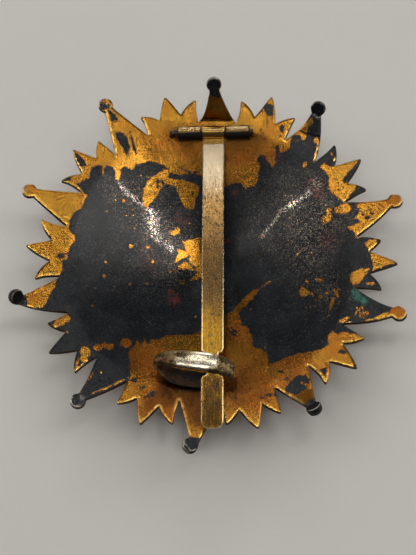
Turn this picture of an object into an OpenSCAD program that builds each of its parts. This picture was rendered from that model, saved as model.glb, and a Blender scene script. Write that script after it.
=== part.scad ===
// Breast star seen from its back: a dished plate with ten ball rays and thirty flames,
// a three-knuckle hinge at the top, a flat pin blade and a C-shaped catch hook at the bottom.
// The star lies face down on its plain front boss, with its back up.

/* [Star outline] */
// Distance from the centre of the star to the centre of each ball
ball_reach = 42; // [39:0.5:48]
// Diameter of the ball on the end of each long ray
ball_d = 3.6; // [3:0.1:4.2]
// Width of a long ray where it meets its ball
neck_w = 2.1; // [1.6:0.1:2.4]
// Radius at the bottom of the gap beside a long ray
gap_r = 32.3; // [31.6:0.1:33.5]
// Angle between a long ray and the gap beside it, in degrees
gap_turn = 7.6; // [7.2:0.1:8]
// Radius at the bottom of the gaps beside a middle flame
flame_gap_r = 34.7; // [34:0.1:35.5]
// Angle between a long ray and the gap beside a middle flame, in degrees
flame_gap_turn = 13.9; // [13.5:0.1:14.3]
// Radius at the tip of a middle flame
middle_flame_r = 40; // [38:0.25:42]
// Radius at the tip of a side flame
side_flame_r = 37.6; // [36.5:0.1:39]
// Angle between a middle flame and a side flame, in degrees
flame_spread = 9.6; // [8.5:0.1:10.5]
// Width of the blunt tip of a flame
flame_tip_w = 0.4; // [0.2:0.05:0.8]
// Turn of the whole outline away from the line of the pin, in degrees
outline_turn = -3.2; // [-8:0.1:8]

/* [Plate] */
// Thickness of the plate
plate_t = 1; // [0.7:0.05:1.3]
// Radius at which the dished middle ends and the rays begin
rim_r = 31; // [30.6:0.1:31.4]
// Rise of the dish from its centre to its rim
dish_rise = 6; // [5:0.1:7]
// Radius of the soft bottom of the dish
dish_round = 8; // [5:0.5:12]
// Slope of the rays outside the rim, in degrees
ray_slope = 7; // [2:0.5:10]

/* [Front boss] */
// Height of the dished surface over the resting face of the boss, at the centre
centre_h = 3; // [2.5:0.1:4]
// Radius of the flat resting face
boss_flat_r = 8; // [6:0.25:9]
// Radius of the foot of the boss, where it meets the dish
boss_foot_r = 14.5; // [13.5:0.25:16]

/* [Hinge] */
// Distance of the pin's centre line to the side of the star's centre
pin_x = 1; // [-2:0.1:2]
// Distance of the hinge axis from the star's centre
hinge_y = 29.2; // [27:0.1:29.6]
// Outer diameter of the hinge barrels
barrel_d = 2.7; // [2.4:0.1:3.2]
// Diameter of the hinge rod
rod_d = 1.2; // [0.9:0.1:1.4]
// Play of the rod in the soldered knuckles, on the diameter
rod_fit = 0.04; // [0.02:0.01:0.08]
// Play of the rod in the pin's knuckle, on the diameter
swing_fit = 0.1; // [0.04:0.02:0.2]
// Length of each soldered knuckle
knuckle_len = 5.4; // [4.5:0.1:6]
// Space on each side of the pin's knuckle
knuckle_gap = 0.25; // [0.1:0.05:0.5]
// Length of rod standing out past the left knuckle
rod_end_left = 1.6; // [0.5:0.1:2.5]
// Length of rod standing out past the right knuckle
rod_end_right = 0.8; // [0.4:0.1:2]
// Space between the barrels and the plate below them
barrel_lift = 0.2; // [0.15:0.05:0.5]
// Width of the solder under each soldered knuckle
solder_w = 2.2; // [1.8:0.1:2.4]

/* [Pin blade] */
// Width of the blade at the hinge
blade_w = 4.8; // [4.2:0.1:5.4]
// Width of the blade at its tip
blade_tip_w = 4.5; // [4:0.1:5]
// Thickness of the blade
blade_t = 0.9; // [0.7:0.05:1.1]
// Distance from the hinge axis to the tip of the blade
blade_len = 67.6; // [66:0.2:70]
// Rise of the blade from the hinge to its tip
blade_rise = 2.9; // [2.4:0.05:3.2]
// Upward bow of the blade at half its length
blade_bow = 0.6; // [0:0.05:0.9]
// Width of the waist that sits in the hook
waist_w = 2.4; // [1.8:0.1:2.8]
// Length of the waist
waist_len = 4.8; // [4.6:0.1:6]
// Radius of the round shoulders at the waist
shoulder_r = 1; // [0.6:0.05:1]
// Radius of the round corners at the tip
tip_corner_r = 1.4; // [0.8:0.05:1.8]

/* [Catch hook] */
// Distance from the hinge axis to the middle of the hook's upper arm
hook_from_hinge = 54; // [52.5:0.1:55]
// Width of the hook's band
hook_w = 3.8; // [3.4:0.1:4]
// Thickness of the band in its middle
hook_t = 0.9; // [0.7:0.05:1]
// Thickness of the band along its edges
hook_edge_t = 0.45; // [0.3:0.05:0.6]
// Length of the hook along the arm
hook_len = 17.2; // [16:0.1:18]
// Reach of the free end past the pin's centre line
hook_reach = 4.5; // [4:0.1:5.5]
// Space between the arm and the blade's waist
hook_clear = 0.12; // [0.05:0.01:0.3]
// Turn of the hook away from square to the pin, in degrees
hook_turn = -7.5; // [-12:0.5:0]
// Distance that the upper arm leans towards the star's centre
hook_lean = 3.1; // [2:0.1:3.5]
// Space between a soldered piece and the plate
solder_gap = 0.04; // [0.03:0.01:0.08]

/* [Hidden] */
$fn = 48;

rays = 10;
step = 360 / rays;
// How far a cutting shape runs past what it cuts
overrun = 1;

// Long rays, clockwise from the top:
// [sideways turn of the ball in degrees, reach as a share of ball_reach,
//  lift of the ball as a share of ball_d, pitch of the ball's flat back in degrees,
//  sideways kink at the neck in degrees, share of the ray that stays flat before it bends]
RAY_TABLE = [
    [ 1.0, 0.885, 2.00, 60,   0, 0.10],
    [ 3.1, 0.977, 0.60, 52,   0, 0.45],
    [ 1.6, 1.005, 0.00,  7,   0, 0.50],
    [ 2.4, 1.010, 0.00,  7,   0, 0.50],
    [-0.3, 0.955, 0.60, 55,   0, 0.50],
    [-1.7, 0.988, 0.10, 20, -25, 0.50],
    [-1.2, 0.996, 0.00,  8,   0, 0.50],
    [-1.4, 0.993, 0.45, 60, -38, 0.60],
    [-0.4, 1.018, 0.00,  4,   0, 0.50],
    [ 0.0, 1.028, 0.00,  8,   0, 0.50]];
R_TURN = 0;
R_REACH = 1;
R_LIFT = 2;
R_PITCH = 3;
R_KINK = 4;
R_FLAT = 5;

// Flames after each ray, clockwise: [turn of flame 1, 2 and 3 in degrees, length share of 1, 2 and 3]
FLAME_TABLE = [
    [ 0.5,  0.7,  0.2, 1.00, 1.04, 1.02],
    [ 0.2,  0.5,  0.1, 1.05, 1.00, 0.95],
    [-1.8, -0.4,  0.2, 0.90, 1.08, 1.00],
    [-0.5, -0.3, -0.8, 1.05, 1.00, 1.00],
    [-1.1,  0.4,  0.7, 1.05, 0.86, 0.90],
    [ 0.3,  0.5,  0.5, 1.00, 0.90, 1.00],
    [ 0.2, -0.3,  0.1, 1.10, 0.98, 0.94],
    [ 0.8, -1.0, -1.0, 1.05, 0.98, 1.05],
    [ 0.7, -0.9,  0.5, 0.96, 0.94, 0.90],
    [ 0.4, -0.1, -0.5, 0.80, 0.90, 0.98]];
F_TURN = 0;
F_LENGTH = 3;

// Height of the back of the plate at radius r, and the angle of long ray k
dish_k = dish_rise / (sqrt(rim_r * rim_r + dish_round * dish_round) - dish_round);
function back_z(r) = r <= rim_r
    ? centre_h + dish_k * (sqrt(r * r + dish_round * dish_round) - dish_round)
    : centre_h + dish_rise + (r - rim_r) * tan(ray_slope);
function front_z(r) = back_z(r) - plate_t;
function ray_angle(k) = 90 + outline_turn - step * k;
function polar(r, a) = [r * cos(a), r * sin(a), back_z(r)];
function unit(v) = v / norm(v);
function mix(a, b, s) = a * (1 - s) + b * s;
function plan_r(p) = norm([p[0], p[1]]);
function plan_a(p) = atan2(p[1], p[0]);
function on_back(p) = [p[0], p[1], back_z(plan_r(p))];

// Corners of one step of the outline, clockwise: [angle after the ray, radius, divisions after it]
CORNERS = [[-gap_turn, gap_r, 4], [gap_turn, gap_r, 2], [flame_gap_turn, flame_gap_r, 2],
    [step - flame_gap_turn, flame_gap_r, 2], [step - gap_turn, gap_r, 0]];
RAY_N = CORNERS[0][2];
FLAME_N = CORNERS[1][2];
STEP_N = RAY_N + 3 * FLAME_N;
RING_N = STEP_N * rays;
function corner(k, c) = polar(CORNERS[c][1], ray_angle(k) - CORNERS[c][0]);
function middle(k, c) = mix(corner(k, c), corner(k, c + 1), 0.5);
function ring_point(k, c, j) = on_back(mix(corner(k, c), corner(k, c + 1), j / CORNERS[c][2]));
RING = [for (k = [0:rays - 1]) for (c = [0:3]) for (j = [0:CORNERS[c][2] - 1]) ring_point(k, c, j)];

// Rings of the dish on the back, as shares of the rim's radius
BACK_R = [for (share = [1, 0.86, 0.7, 0.53, 0.37, 0.23, 0.11]) rim_r * share];
DISH_RINGS = len(BACK_R);

// Rings of the front as [radius, height]: the dish to the boss's foot, then the boss to its flat face
boss_swell = 1.6;
function dish_ring(share) = let (r = mix(boss_foot_r, rim_r, share)) [r, front_z(r)];
function boss_ring(share) = [mix(boss_flat_r, boss_foot_r, share),
    front_z(boss_foot_r) * (1 - pow(1 - share, boss_swell))];
FRONT_RINGS = concat([for (share = [1, 0.67, 0.33, 0]) dish_ring(share)],
    [for (share = [0.6, 0.25, 0]) boss_ring(share)]);

// A strip is the metal of one ray or flame. It starts on ring points and has rows along a curve.
RAY_ROWS = 6;
FLAME_ROWS = 5;
function bezier(a, b, c, u) = a * pow(1 - u, 2) + b * 2 * u * (1 - u) + c * pow(u, 2);
function bezier_way(a, b, c, u) = unit((b - a) * (1 - u) + (c - b) * u);
function across(way) = unit([way[1], -way[0], 0]);
function outward(a, pitch) = [cos(a) * cos(pitch), sin(a) * cos(pitch), sin(pitch)];
// Points of one row of a strip with n divisions: the back, then the front, from left to right
function row(mid, side, up, half, n, t) = concat(
    [for (j = [0:n]) mid + side * half * (2 * j / n - 1)],
    [for (j = [0:n]) mid + side * half * (2 * j / n - 1) - up * t]);
// Direction of a row: it turns from the base edge to square across the curve within the first rows
function row_side(base, way, u, haste) =
    unit(mix(unit([base[0], base[1], 0]), across(way), min(1, haste * u)));

// A ball is a bead with a flat back that has a shallow cup. These are shares of its radius:
// depth of its centre below the flat back, depth of its two lower rings, and the cup
ball_sink = 0.3;
belly_share = 0.5;
lower_share = 0.95;
cup_width = 0.72;
cup_rim_depth = 0.09;
cup_depth = 0.11;
ball_r = ball_d / 2;
face_r = ball_r * sqrt(1 - ball_sink * ball_sink);
neck_half = asin(neck_w / 2 / face_r);
BALL_N = 14;
FREE_N = BALL_N - RAY_N - 1;
function ball_turn(j) = j <= RAY_N
    ? 180 + neck_half - 2 * neck_half * j / RAY_N
    : 180 - neck_half - (360 - 2 * neck_half) * (j - RAY_N) / (BALL_N - RAY_N);

function ball_at(k) =
    let (a = ray_angle(k) + RAY_TABLE[k][R_TURN], r = ball_reach * RAY_TABLE[k][R_REACH])
    [r * cos(a), r * sin(a), back_z(r) + RAY_TABLE[k][R_LIFT] * ball_d];
function ray_head(k) = plan_a(ball_at(k) - middle(k, 0));
function ball_way(k) = outward(ray_head(k) + RAY_TABLE[k][R_KINK], RAY_TABLE[k][R_PITCH]);
function ball_side(k) = across(ball_way(k));
function ball_up(k) = cross(ball_side(k), ball_way(k));
function neck_at(k) = ball_at(k) - ball_way(k) * face_r * cos(neck_half);
// Point j of a ring of radius r on ball k, at a depth given as a share of the ball's radius
function ball_point(k, j, r, depth) = ball_at(k) - ball_up(k) * depth * ball_r
    + (ball_way(k) * cos(ball_turn(j)) + ball_side(k) * sin(ball_turn(j))) * r;
function ring_r(depth) = ball_r * sqrt(max(0, 1 - pow(depth - ball_sink, 2)));
function ball_ring(k, from, r, depth) = [for (j = [from:BALL_N - 1]) ball_point(k, j, r, depth)];

// Each ray's last row lies on its ball, so the rest of the ball closes round it
function ray_row(k, i) =
    let (u = i / RAY_ROWS, a = middle(k, 0), c = neck_at(k), base = corner(k, 1) - corner(k, 0),
        b = a + outward(ray_angle(k), ray_slope) * norm(c - a) * RAY_TABLE[k][R_FLAT],
        way = bezier_way(a, b, c, u), side = row_side(base, way, u, 1.5))
    i < RAY_ROWS
    ? row(bezier(a, b, c, u), side, cross(side, way), mix(norm(base), neck_w, u) / 2, RAY_N,
        mix(plate_t, belly_share * ball_r, u))
    : concat([for (j = [0:RAY_N]) ball_point(k, j, face_r, 0)],
        [for (j = [0:RAY_N]) ball_point(k, j, ring_r(belly_share), belly_share)]);
function ray_points(k) = concat(
    [for (i = [1:RAY_ROWS]) each ray_row(k, i)],
    ball_ring(k, RAY_N + 1, face_r, 0),
    ball_ring(k, RAY_N + 1, ring_r(belly_share), belly_share),
    ball_ring(k, 0, ring_r(lower_share), lower_share),
    ball_ring(k, 0, face_r * cup_width, cup_rim_depth),
    [ball_at(k) - ball_up(k) * (1 + ball_sink) * ball_r, ball_at(k) - ball_up(k) * cup_depth * ball_r]);

// Flame m of a step is 0, 1 or 2, clockwise; the side flames curl towards the long rays
flame_aim = 4;
flame_taper = 0.85;
flame_thinning = 0.2;
function flame_tip(k, m) =
    let (f = FLAME_TABLE[k], base = plan_r(middle(k, m + 1)),
        a = ray_angle(k) - step / 2 + (1 - m) * flame_spread + f[F_TURN + m],
        tip = m == 1 ? middle_flame_r : side_flame_r, r = mix(base, tip, f[F_LENGTH + m]))
    polar(r, a);
function flame_row(k, m, i) =
    let (u = i / FLAME_ROWS, a = middle(k, m + 1), c = flame_tip(k, m),
        base = corner(k, m + 2) - corner(k, m + 1),
        b = a + outward(plan_a(a) + (1 - m) * flame_aim, ray_slope) * norm(c - a) / 2,
        way = bezier_way(a, b, c, u), side = row_side(base, way, u, 1.3),
        half = mix(flame_tip_w, norm(base), pow(1 - u, flame_taper)) / 2)
    row(bezier(a, b, c, u), side, cross(side, way), half, FLAME_N, plate_t * (1 - flame_thinning * u));
function flame_points(k, m) = [for (i = [1:FLAME_ROWS]) each flame_row(k, m, i)];

// Where each group of points starts in the list
RAY_ROW_N = 2 * (RAY_N + 1);
FLAME_ROW_N = 2 * (FLAME_N + 1);
FRONT_AT = RING_N;
BACK_AT = 2 * RING_N;
UNDER_AT = BACK_AT + DISH_RINGS * RING_N;
CENTRE_AT = UNDER_AT + DISH_RINGS * RING_N;
RAYS_AT = CENTRE_AT + 2;
RAY_SIZE = RAY_ROWS * RAY_ROW_N + 2 * FREE_N + 2 * BALL_N + 2;
FLAMES_AT = RAYS_AT + rays * RAY_SIZE;
FLAME_SIZE = FLAME_ROWS * FLAME_ROW_N;

PLATE_POINTS = concat(RING,
    [for (p = RING) [p[0], p[1], front_z(plan_r(p))]],
    [for (r = BACK_R) for (p = RING) polar(r, plan_a(p))],
    [for (q = FRONT_RINGS) for (p = RING) [q[0] * cos(plan_a(p)), q[0] * sin(plan_a(p)), q[1]]],
    [[0, 0, back_z(0)], [0, 0, 0]],
    [for (k = [0:rays - 1]) each ray_points(k)],
    [for (k = [0:rays - 1]) for (m = [0:2]) each flame_points(k, m)]);

// Faces: every quad is two triangles, clockwise seen from outside
function quad(a, b, c, d) = [[a, b, c], [a, c, d]];
function wrap(i) = i % RING_N;
function dish_faces(outer, inner) = [for (i = [0:RING_N - 1])
    each quad(outer + i, outer + wrap(i + 1), inner + wrap(i + 1), inner + i)];
function under_faces(outer, inner) = [for (i = [0:RING_N - 1])
    each quad(inner + i, inner + wrap(i + 1), outer + wrap(i + 1), outer + i)];

// Point j of row i of a strip that starts on ring point i0: on the back, and on the front
function top_at(at, i0, n, i, j) = i == 0 ? wrap(i0 + j) : at + (i - 1) * 2 * (n + 1) + j;
function low_at(at, i0, n, i, j) = i == 0 ? FRONT_AT + wrap(i0 + j) : top_at(at, i0, n, i, j) + n + 1;
function strip_faces(at, i0, n, rows) = [for (i = [0:rows - 1])
    let (t0 = [for (j = [0:n]) top_at(at, i0, n, i, j)],
        t1 = [for (j = [0:n]) top_at(at, i0, n, i + 1, j)],
        f0 = [for (j = [0:n]) low_at(at, i0, n, i, j)],
        f1 = [for (j = [0:n]) low_at(at, i0, n, i + 1, j)])
    each concat(
        [for (j = [0:n - 1]) each quad(t1[j], t1[j + 1], t0[j + 1], t0[j])],
        [for (j = [0:n - 1]) each quad(f0[j], f0[j + 1], f1[j + 1], f1[j])],
        quad(t0[0], f0[0], f1[0], t1[0]),
        quad(t0[n], t1[n], f1[n], f0[n]))];
function tip_faces(at, i0, n, rows) = [for (j = [0:n - 1])
    each quad(top_at(at, i0, n, rows, j), low_at(at, i0, n, rows, j),
        low_at(at, i0, n, rows, j + 1), top_at(at, i0, n, rows, j + 1))];

// Point j round a ball: on the edge of its flat back, its belly, its lower ring and its cup.
// The first points of the edge and the belly belong to the ray's last row.
function last_row(at) = at + (RAY_ROWS - 1) * RAY_ROW_N;
function free_at(at) = at + RAY_ROWS * RAY_ROW_N;
function edge_i(at, j) = let (q = j % BALL_N)
    q <= RAY_N ? last_row(at) + q : free_at(at) + q - RAY_N - 1;
function belly_i(at, j) = let (q = j % BALL_N)
    q <= RAY_N ? last_row(at) + RAY_N + 1 + q : free_at(at) + FREE_N + q - RAY_N - 1;
function lower_i(at, j) = free_at(at) + 2 * FREE_N + j % BALL_N;
function cup_i(at, j) = lower_i(at, j) + BALL_N;
function ball_faces(at) = let (end = at + RAY_SIZE - 2) [for (j = [0:BALL_N - 1]) each concat(
    quad(edge_i(at, j + 1), edge_i(at, j), cup_i(at, j), cup_i(at, j + 1)),
    [[cup_i(at, j + 1), cup_i(at, j), end + 1]],
    j < RAY_N ? [] : quad(edge_i(at, j), edge_i(at, j + 1), belly_i(at, j + 1), belly_i(at, j)),
    quad(belly_i(at, j), belly_i(at, j + 1), lower_i(at, j + 1), lower_i(at, j)),
    [[lower_i(at, j), lower_i(at, j + 1), end]])];

LAST_BACK = BACK_AT + (DISH_RINGS - 1) * RING_N;
LAST_UNDER = UNDER_AT + (DISH_RINGS - 1) * RING_N;
PLATE_FACES = concat(
    dish_faces(0, BACK_AT),
    under_faces(FRONT_AT, UNDER_AT),
    [for (q = [0:DISH_RINGS - 2]) each dish_faces(BACK_AT + q * RING_N, BACK_AT + (q + 1) * RING_N)],
    [for (q = [0:DISH_RINGS - 2]) each under_faces(UNDER_AT + q * RING_N, UNDER_AT + (q + 1) * RING_N)],
    [for (i = [0:RING_N - 1]) [LAST_BACK + i, LAST_BACK + wrap(i + 1), CENTRE_AT]],
    [for (i = [0:RING_N - 1]) [LAST_UNDER + wrap(i + 1), LAST_UNDER + i, CENTRE_AT + 1]],
    [for (k = [0:rays - 1]) let (at = RAYS_AT + k * RAY_SIZE)
        each concat(strip_faces(at, k * STEP_N, RAY_N, RAY_ROWS), ball_faces(at))],
    [for (k = [0:rays - 1]) for (m = [0:2])
        let (at = FLAMES_AT + (3 * k + m) * FLAME_SIZE, i0 = k * STEP_N + RAY_N + FLAME_N * m)
        each concat(strip_faces(at, i0, FLAME_N, FLAME_ROWS), tip_faces(at, i0, FLAME_N, FLAME_ROWS))]);

// Hinge
barrel_r = barrel_d / 2;
hinge_z = back_z(norm([hinge_y, knuckle_len])) + barrel_lift + barrel_r;
half_middle = blade_w / 2;
knuckle_start = half_middle + knuckle_gap;
// Height of the solder beside a barrel, as a share of the barrel's radius, and its depth below it
solder_share = 0.5;
solder_depth = 2;

// Blade: the underside starts under the barrel and follows a bowed line to the tip
BLADE_ROWS = 16;
blade_low = hinge_z - barrel_r;
function blade_under(s) = blade_low + blade_rise * s + 4 * blade_bow * s * (1 - s);
function blade_y(s) = hinge_y - blade_len * s;

// Hook: centre line of the band, from the foot under the blade, round the bend, to the free end
// [distance along the arm as a share of hook_len, rise as a share of the arm's height, share of the width]
HOOK_TABLE = [
    [0.70,  0.00, 1.00],
    [0.42,  0.00, 1.00],
    [0.27,  0.05, 0.98],
    [0.16,  0.24, 0.86],
    [0.07,  0.56, 0.62],
    [0.045, 0.76, 0.56],
    [0.12,  0.92, 0.70],
    [0.27,  0.99, 0.89],
    [0.50,  1.02, 1.02],
    [0.76,  1.01, 1.02],
    [0.91,  0.88, 0.98],
    [1.00,  0.70, 0.92]];
HOOK_STEPS = 3;
HOOK_ROWS = (len(HOOK_TABLE) - 1) * HOOK_STEPS;
hook_mid_y = hinge_y - hook_from_hinge;
hook_s = hook_from_hinge / blade_len;
hook_start_x = pin_x + hook_reach - hook_len;
arm_under = blade_under(hook_s) + blade_t + hook_clear + blade_rise / blade_len * hook_w / 2;
arm_mid = arm_under + hook_t / 2;
// The foot lies along the slope of the plate where it is soldered on
slope_probe = 0.1;
foot_r = norm([hook_start_x + hook_len * HOOK_TABLE[1][0], hook_mid_y - hook_lean]);
foot_slope = atan((back_z(foot_r + slope_probe) - back_z(foot_r - slope_probe)) / (2 * slope_probe));
foot_mid = back_z(foot_r + hook_w / 3) + hook_t / 2;

// Smooth curve through the rows of the table
function smooth(a, b, c, d, u) = 0.5 * (2 * b + (c - a) * u + (2 * a - 5 * b + 4 * c - d) * u * u
    + (3 * b - a - 3 * c + d) * u * u * u);
function hook_share(i) =
    let (n = len(HOOK_TABLE) - 1, q = min(n - 1, floor(i / HOOK_STEPS)), u = i / HOOK_STEPS - q)
    smooth(HOOK_TABLE[max(0, q - 1)], HOOK_TABLE[q], HOOK_TABLE[q + 1], HOOK_TABLE[min(n, q + 2)], u);
function hook_at(i) =
    let (s = hook_share(i), x = hook_start_x + hook_len * s[0] - pin_x)
    [pin_x + x, hook_mid_y + x * tan(hook_turn) - hook_lean * (1 - s[1]), mix(foot_mid, arm_mid, s[1])];
function hook_way(i) = unit(hook_at(min(HOOK_ROWS, i + 1)) - hook_at(max(0, i - 1)));
function hook_side(i) =
    let (tilt = foot_slope * (1 - min(1, max(0, hook_share(i)[1]))))
    unit([-sin(hook_turn), cos(hook_turn) * cos(tilt), -sin(tilt)]);

// Section of the band: [share of its half width, height over the inside face as a share of hook_t]
edge_share = hook_edge_t / hook_t;
HOOK_SECTION = [[-1, 0], [-1, edge_share], [-0.62, 0.86], [0, 1], [0.62, 0.86], [1, edge_share], [1, 0]];
HOOK_N = len(HOOK_SECTION);
HOOK_POINTS = [for (i = [0:HOOK_ROWS])
    let (side = hook_side(i), up = unit(cross(hook_way(i), side)), half = hook_share(i)[2] * hook_w / 2)
    for (q = HOOK_SECTION) hook_at(i) + side * q[0] * half + up * (q[1] - 0.5) * hook_t];
HOOK_FACES = concat(
    [for (i = [0:HOOK_ROWS - 1]) for (j = [0:HOOK_N - 1])
        let (a = i * HOOK_N + j, b = i * HOOK_N + (j + 1) % HOOK_N)
        each quad(a, b, b + HOOK_N, a + HOOK_N)],
    [[for (j = [HOOK_N - 1:-1:0]) j]],
    [[for (j = [0:HOOK_N - 1]) HOOK_ROWS * HOOK_N + j]]);

// Everything below the back of the plate, raised by the solder gap
module under_plate() {
    outer = ball_reach;
    rotate_extrude($fn = 96)
        polygon(concat([[0, -plate_t], [outer, -plate_t], [outer, back_z(outer) + solder_gap]],
            [for (r = BACK_R) [r, back_z(r) + solder_gap]], [[0, back_z(0) + solder_gap]]));
}

module star_plate() {
    color("goldenrod") polyhedron(PLATE_POINTS, PLATE_FACES, convexity = 8);
}

// A barrel on its bed of solder, from its inner end outwards along +X
module knuckle() {
    difference() {
        union() {
            translate([0, 0, hinge_z]) rotate([0, 90, 0]) cylinder(h = knuckle_len, r = barrel_r);
            translate([0, -solder_w / 2, hinge_z - barrel_r - solder_depth])
                cube([knuckle_len, solder_w, barrel_r * solder_share + solder_depth]);
        }
        translate([-overrun, 0, hinge_z]) rotate([0, 90, 0])
            cylinder(h = knuckle_len + 2 * overrun, d = rod_d + rod_fit);
    }
}

module left_knuckle() {
    color("silver") difference() {
        translate([pin_x - knuckle_start - knuckle_len, hinge_y, 0]) knuckle();
        under_plate();
    }
}

module right_knuckle() {
    color("silver") difference() {
        translate([pin_x + knuckle_start, hinge_y, 0]) knuckle();
        under_plate();
    }
}

module hinge_rod() {
    rod_len = 2 * (knuckle_start + knuckle_len) + rod_end_left + rod_end_right;
    color("sienna") translate([pin_x - knuckle_start - knuckle_len - rod_end_left, hinge_y, hinge_z])
        rotate([0, 90, 0]) cylinder(h = rod_len, d = rod_d);
}

// Points of a round corner with its centre at c
ARC_N = 6;
function arc(c, r, from, to) = [for (i = [0:ARC_N])
    let (a = mix(from, to, i / ARC_N)) c + r * [cos(a), sin(a)]];

// Outline of the blade from above, with its waist
module blade_plan() {
    function half_at(y) = mix(blade_w, blade_tip_w, (hinge_y - y) / blade_len) / 2;
    top = hook_mid_y + waist_len / 2;
    low = hook_mid_y - waist_len / 2;
    tip = hinge_y - blade_len;
    right = concat(
        [[half_at(hinge_y), hinge_y + overrun]],
        arc([half_at(top) - shoulder_r, top + shoulder_r], shoulder_r, 0, -90),
        [[waist_w / 2, top], [waist_w / 2, low]],
        arc([half_at(low) - shoulder_r, low - shoulder_r], shoulder_r, 90, 0),
        arc([half_at(tip) - tip_corner_r, tip + tip_corner_r], tip_corner_r, 0, -90));
    polygon(concat(right, [for (i = [len(right) - 1:-1:0]) [-right[i][0], right[i][1]]]));
}

// Outline of the blade from the side
module blade_profile() {
    rows = [for (i = [0:BLADE_ROWS]) i / BLADE_ROWS];
    polygon(concat([for (s = rows) [blade_y(s), blade_under(s)]],
        [for (i = [BLADE_ROWS:-1:0]) [blade_y(rows[i]), blade_under(rows[i]) + blade_t]]));
}

module pin_blade() {
    color("lightgoldenrodyellow") translate([pin_x, 0, 0]) difference() {
        union() {
            intersection() {
                translate([-blade_w, 0, 0]) rotate([90, 0, 90])
                    linear_extrude(2 * blade_w) blade_profile();
                linear_extrude(2 * hinge_z) blade_plan();
            }
            translate([-half_middle, hinge_y, hinge_z]) rotate([0, 90, 0])
                cylinder(h = blade_w, r = barrel_r);
        }
        translate([-blade_w, hinge_y, hinge_z]) rotate([0, 90, 0])
            cylinder(h = 2 * blade_w, d = rod_d + swing_fit);
    }
}

module catch_hook() {
    color("lightgray") difference() {
        polyhedron(HOOK_POINTS, HOOK_FACES, convexity = 4);
        under_plate();
    }
}

star_plate();
left_knuckle();
right_knuckle();
hinge_rod();
pin_blade();
catch_hook();
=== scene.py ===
"""Looks of a worn gilt breast star that lies face down and shows its tarnished back.

The star is one dished plate with rays, flames and beads. A hinge, a flat pin blade and
a catch hook are soldered to it. Lengths are in metres unless their name ends in _mm
or _px, and places on the photograph are in pixels.
"""

from __future__ import annotations

import logging
import math
from dataclasses import dataclass, field
from enum import Enum

import bmesh
import bpy
import numpy as np
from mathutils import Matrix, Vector
from mathutils.kdtree import KDTree


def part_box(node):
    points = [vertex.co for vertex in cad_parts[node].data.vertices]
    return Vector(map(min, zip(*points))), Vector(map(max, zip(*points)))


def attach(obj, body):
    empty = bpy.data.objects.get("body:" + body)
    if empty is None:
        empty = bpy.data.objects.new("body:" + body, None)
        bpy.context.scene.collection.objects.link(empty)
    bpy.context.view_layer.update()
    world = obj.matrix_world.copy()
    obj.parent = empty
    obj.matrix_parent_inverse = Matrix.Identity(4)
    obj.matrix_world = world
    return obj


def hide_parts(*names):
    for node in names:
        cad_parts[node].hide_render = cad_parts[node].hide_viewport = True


MM = 0.001
# How the loose triangles of a CAD node are merged: the gap that is closed, the shortest edge that
# stays, and how far two triangles may be turned and how uneven they may be to make a quad.
WELD = 0.002 * MM
SLIVER = 0.001 * MM
QUAD_TURN = math.radians(40)
QUAD_SHAPE = math.radians(60)
# The turn from which an edge is rounded, and the turn up to which it is shaded smooth.
SHARP = math.radians(38)
SMOOTH = math.radians(40)
# How the outlines and soft round spots of the photograph are drawn: the corners of a disc, the share of a
# strip that each pointed end takes, and how narrow and how steep a spot's edge is. Some spots are stains,
# and some are painted shade and painted glints.
DISC_CORNERS = 12
STRIP_TAPER = 0.2
SPOT_NARROW = 1.1
SPOT_STEEP = 2.4
LOG = logging.getLogger("breast_star")

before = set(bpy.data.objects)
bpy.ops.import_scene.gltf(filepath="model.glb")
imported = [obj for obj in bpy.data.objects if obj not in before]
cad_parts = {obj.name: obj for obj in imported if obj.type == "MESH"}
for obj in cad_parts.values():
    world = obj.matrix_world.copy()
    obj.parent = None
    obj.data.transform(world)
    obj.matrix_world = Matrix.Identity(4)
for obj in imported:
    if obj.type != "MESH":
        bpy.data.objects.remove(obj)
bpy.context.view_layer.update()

Point = tuple[float, float]
Triple = tuple[float, float, float]
Colour = Triple
LAMP_WHITE: Colour = (1.0, 0.985, 0.96)


class Value:
    """A number in a material's node tree, worked on with ordinary arithmetic."""

    def __init__(self, tree: Graph, socket: bpy.types.NodeSocket) -> None:
        """Wraps an output socket.

        Args:
            tree: the graph that the socket is in.
            socket: the output socket.
        """
        self.tree = tree
        self.socket = socket

    def maths(self, operation: str, *others: Value | float) -> Value:
        """Adds one Math node.

        Args:
            operation: the node's operation.
            others: the other numbers that it takes.

        Returns:
            The node's result.
        """
        inputs = dict(enumerate((self, *others)))
        node = self.tree.node("ShaderNodeMath", {"operation": operation}, inputs)
        return Value(self.tree, node.outputs[0])

    def __add__(self, other: Value | float) -> Value:
        """Returns the sum."""
        return self.maths("ADD", other)

    __radd__ = __add__

    def __sub__(self, other: Value | float) -> Value:
        """Returns the difference."""
        return self.maths("SUBTRACT", other)

    def __rsub__(self, other: float) -> Value:
        """Returns a plain number less this value."""
        return self.maths("MULTIPLY_ADD", -1.0, other)

    def __mul__(self, other: Value | float) -> Value:
        """Returns the product."""
        return self.maths("MULTIPLY", other)

    __rmul__ = __mul__

    def most(self, other: Value | float) -> Value:
        """Returns the larger of two values."""
        return self.maths("MAXIMUM", other)

    def least(self, other: Value | float) -> Value:
        """Returns the smaller of two values."""
        return self.maths("MINIMUM", other)

    def step(self, low: float, high: float) -> Value:
        """A soft step.

        Args:
            low: where the step starts.
            high: where the step ends. It may lie below low, for a step down.

        Returns:
            0 before low and 1 after high, with a smooth way between.
        """
        turned = low > high
        limits = {"From Min": min(low, high), "From Max": max(low, high)}
        ends = {"To Min": 1.0, "To Max": 0.0} if turned else {"To Min": 0.0, "To Max": 1.0}
        settings = {"interpolation_type": "SMOOTHSTEP"}
        node = self.tree.node("ShaderNodeMapRange", settings, {"Value": self, **limits, **ends})
        return Value(self.tree, node.outputs["Result"])


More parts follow.
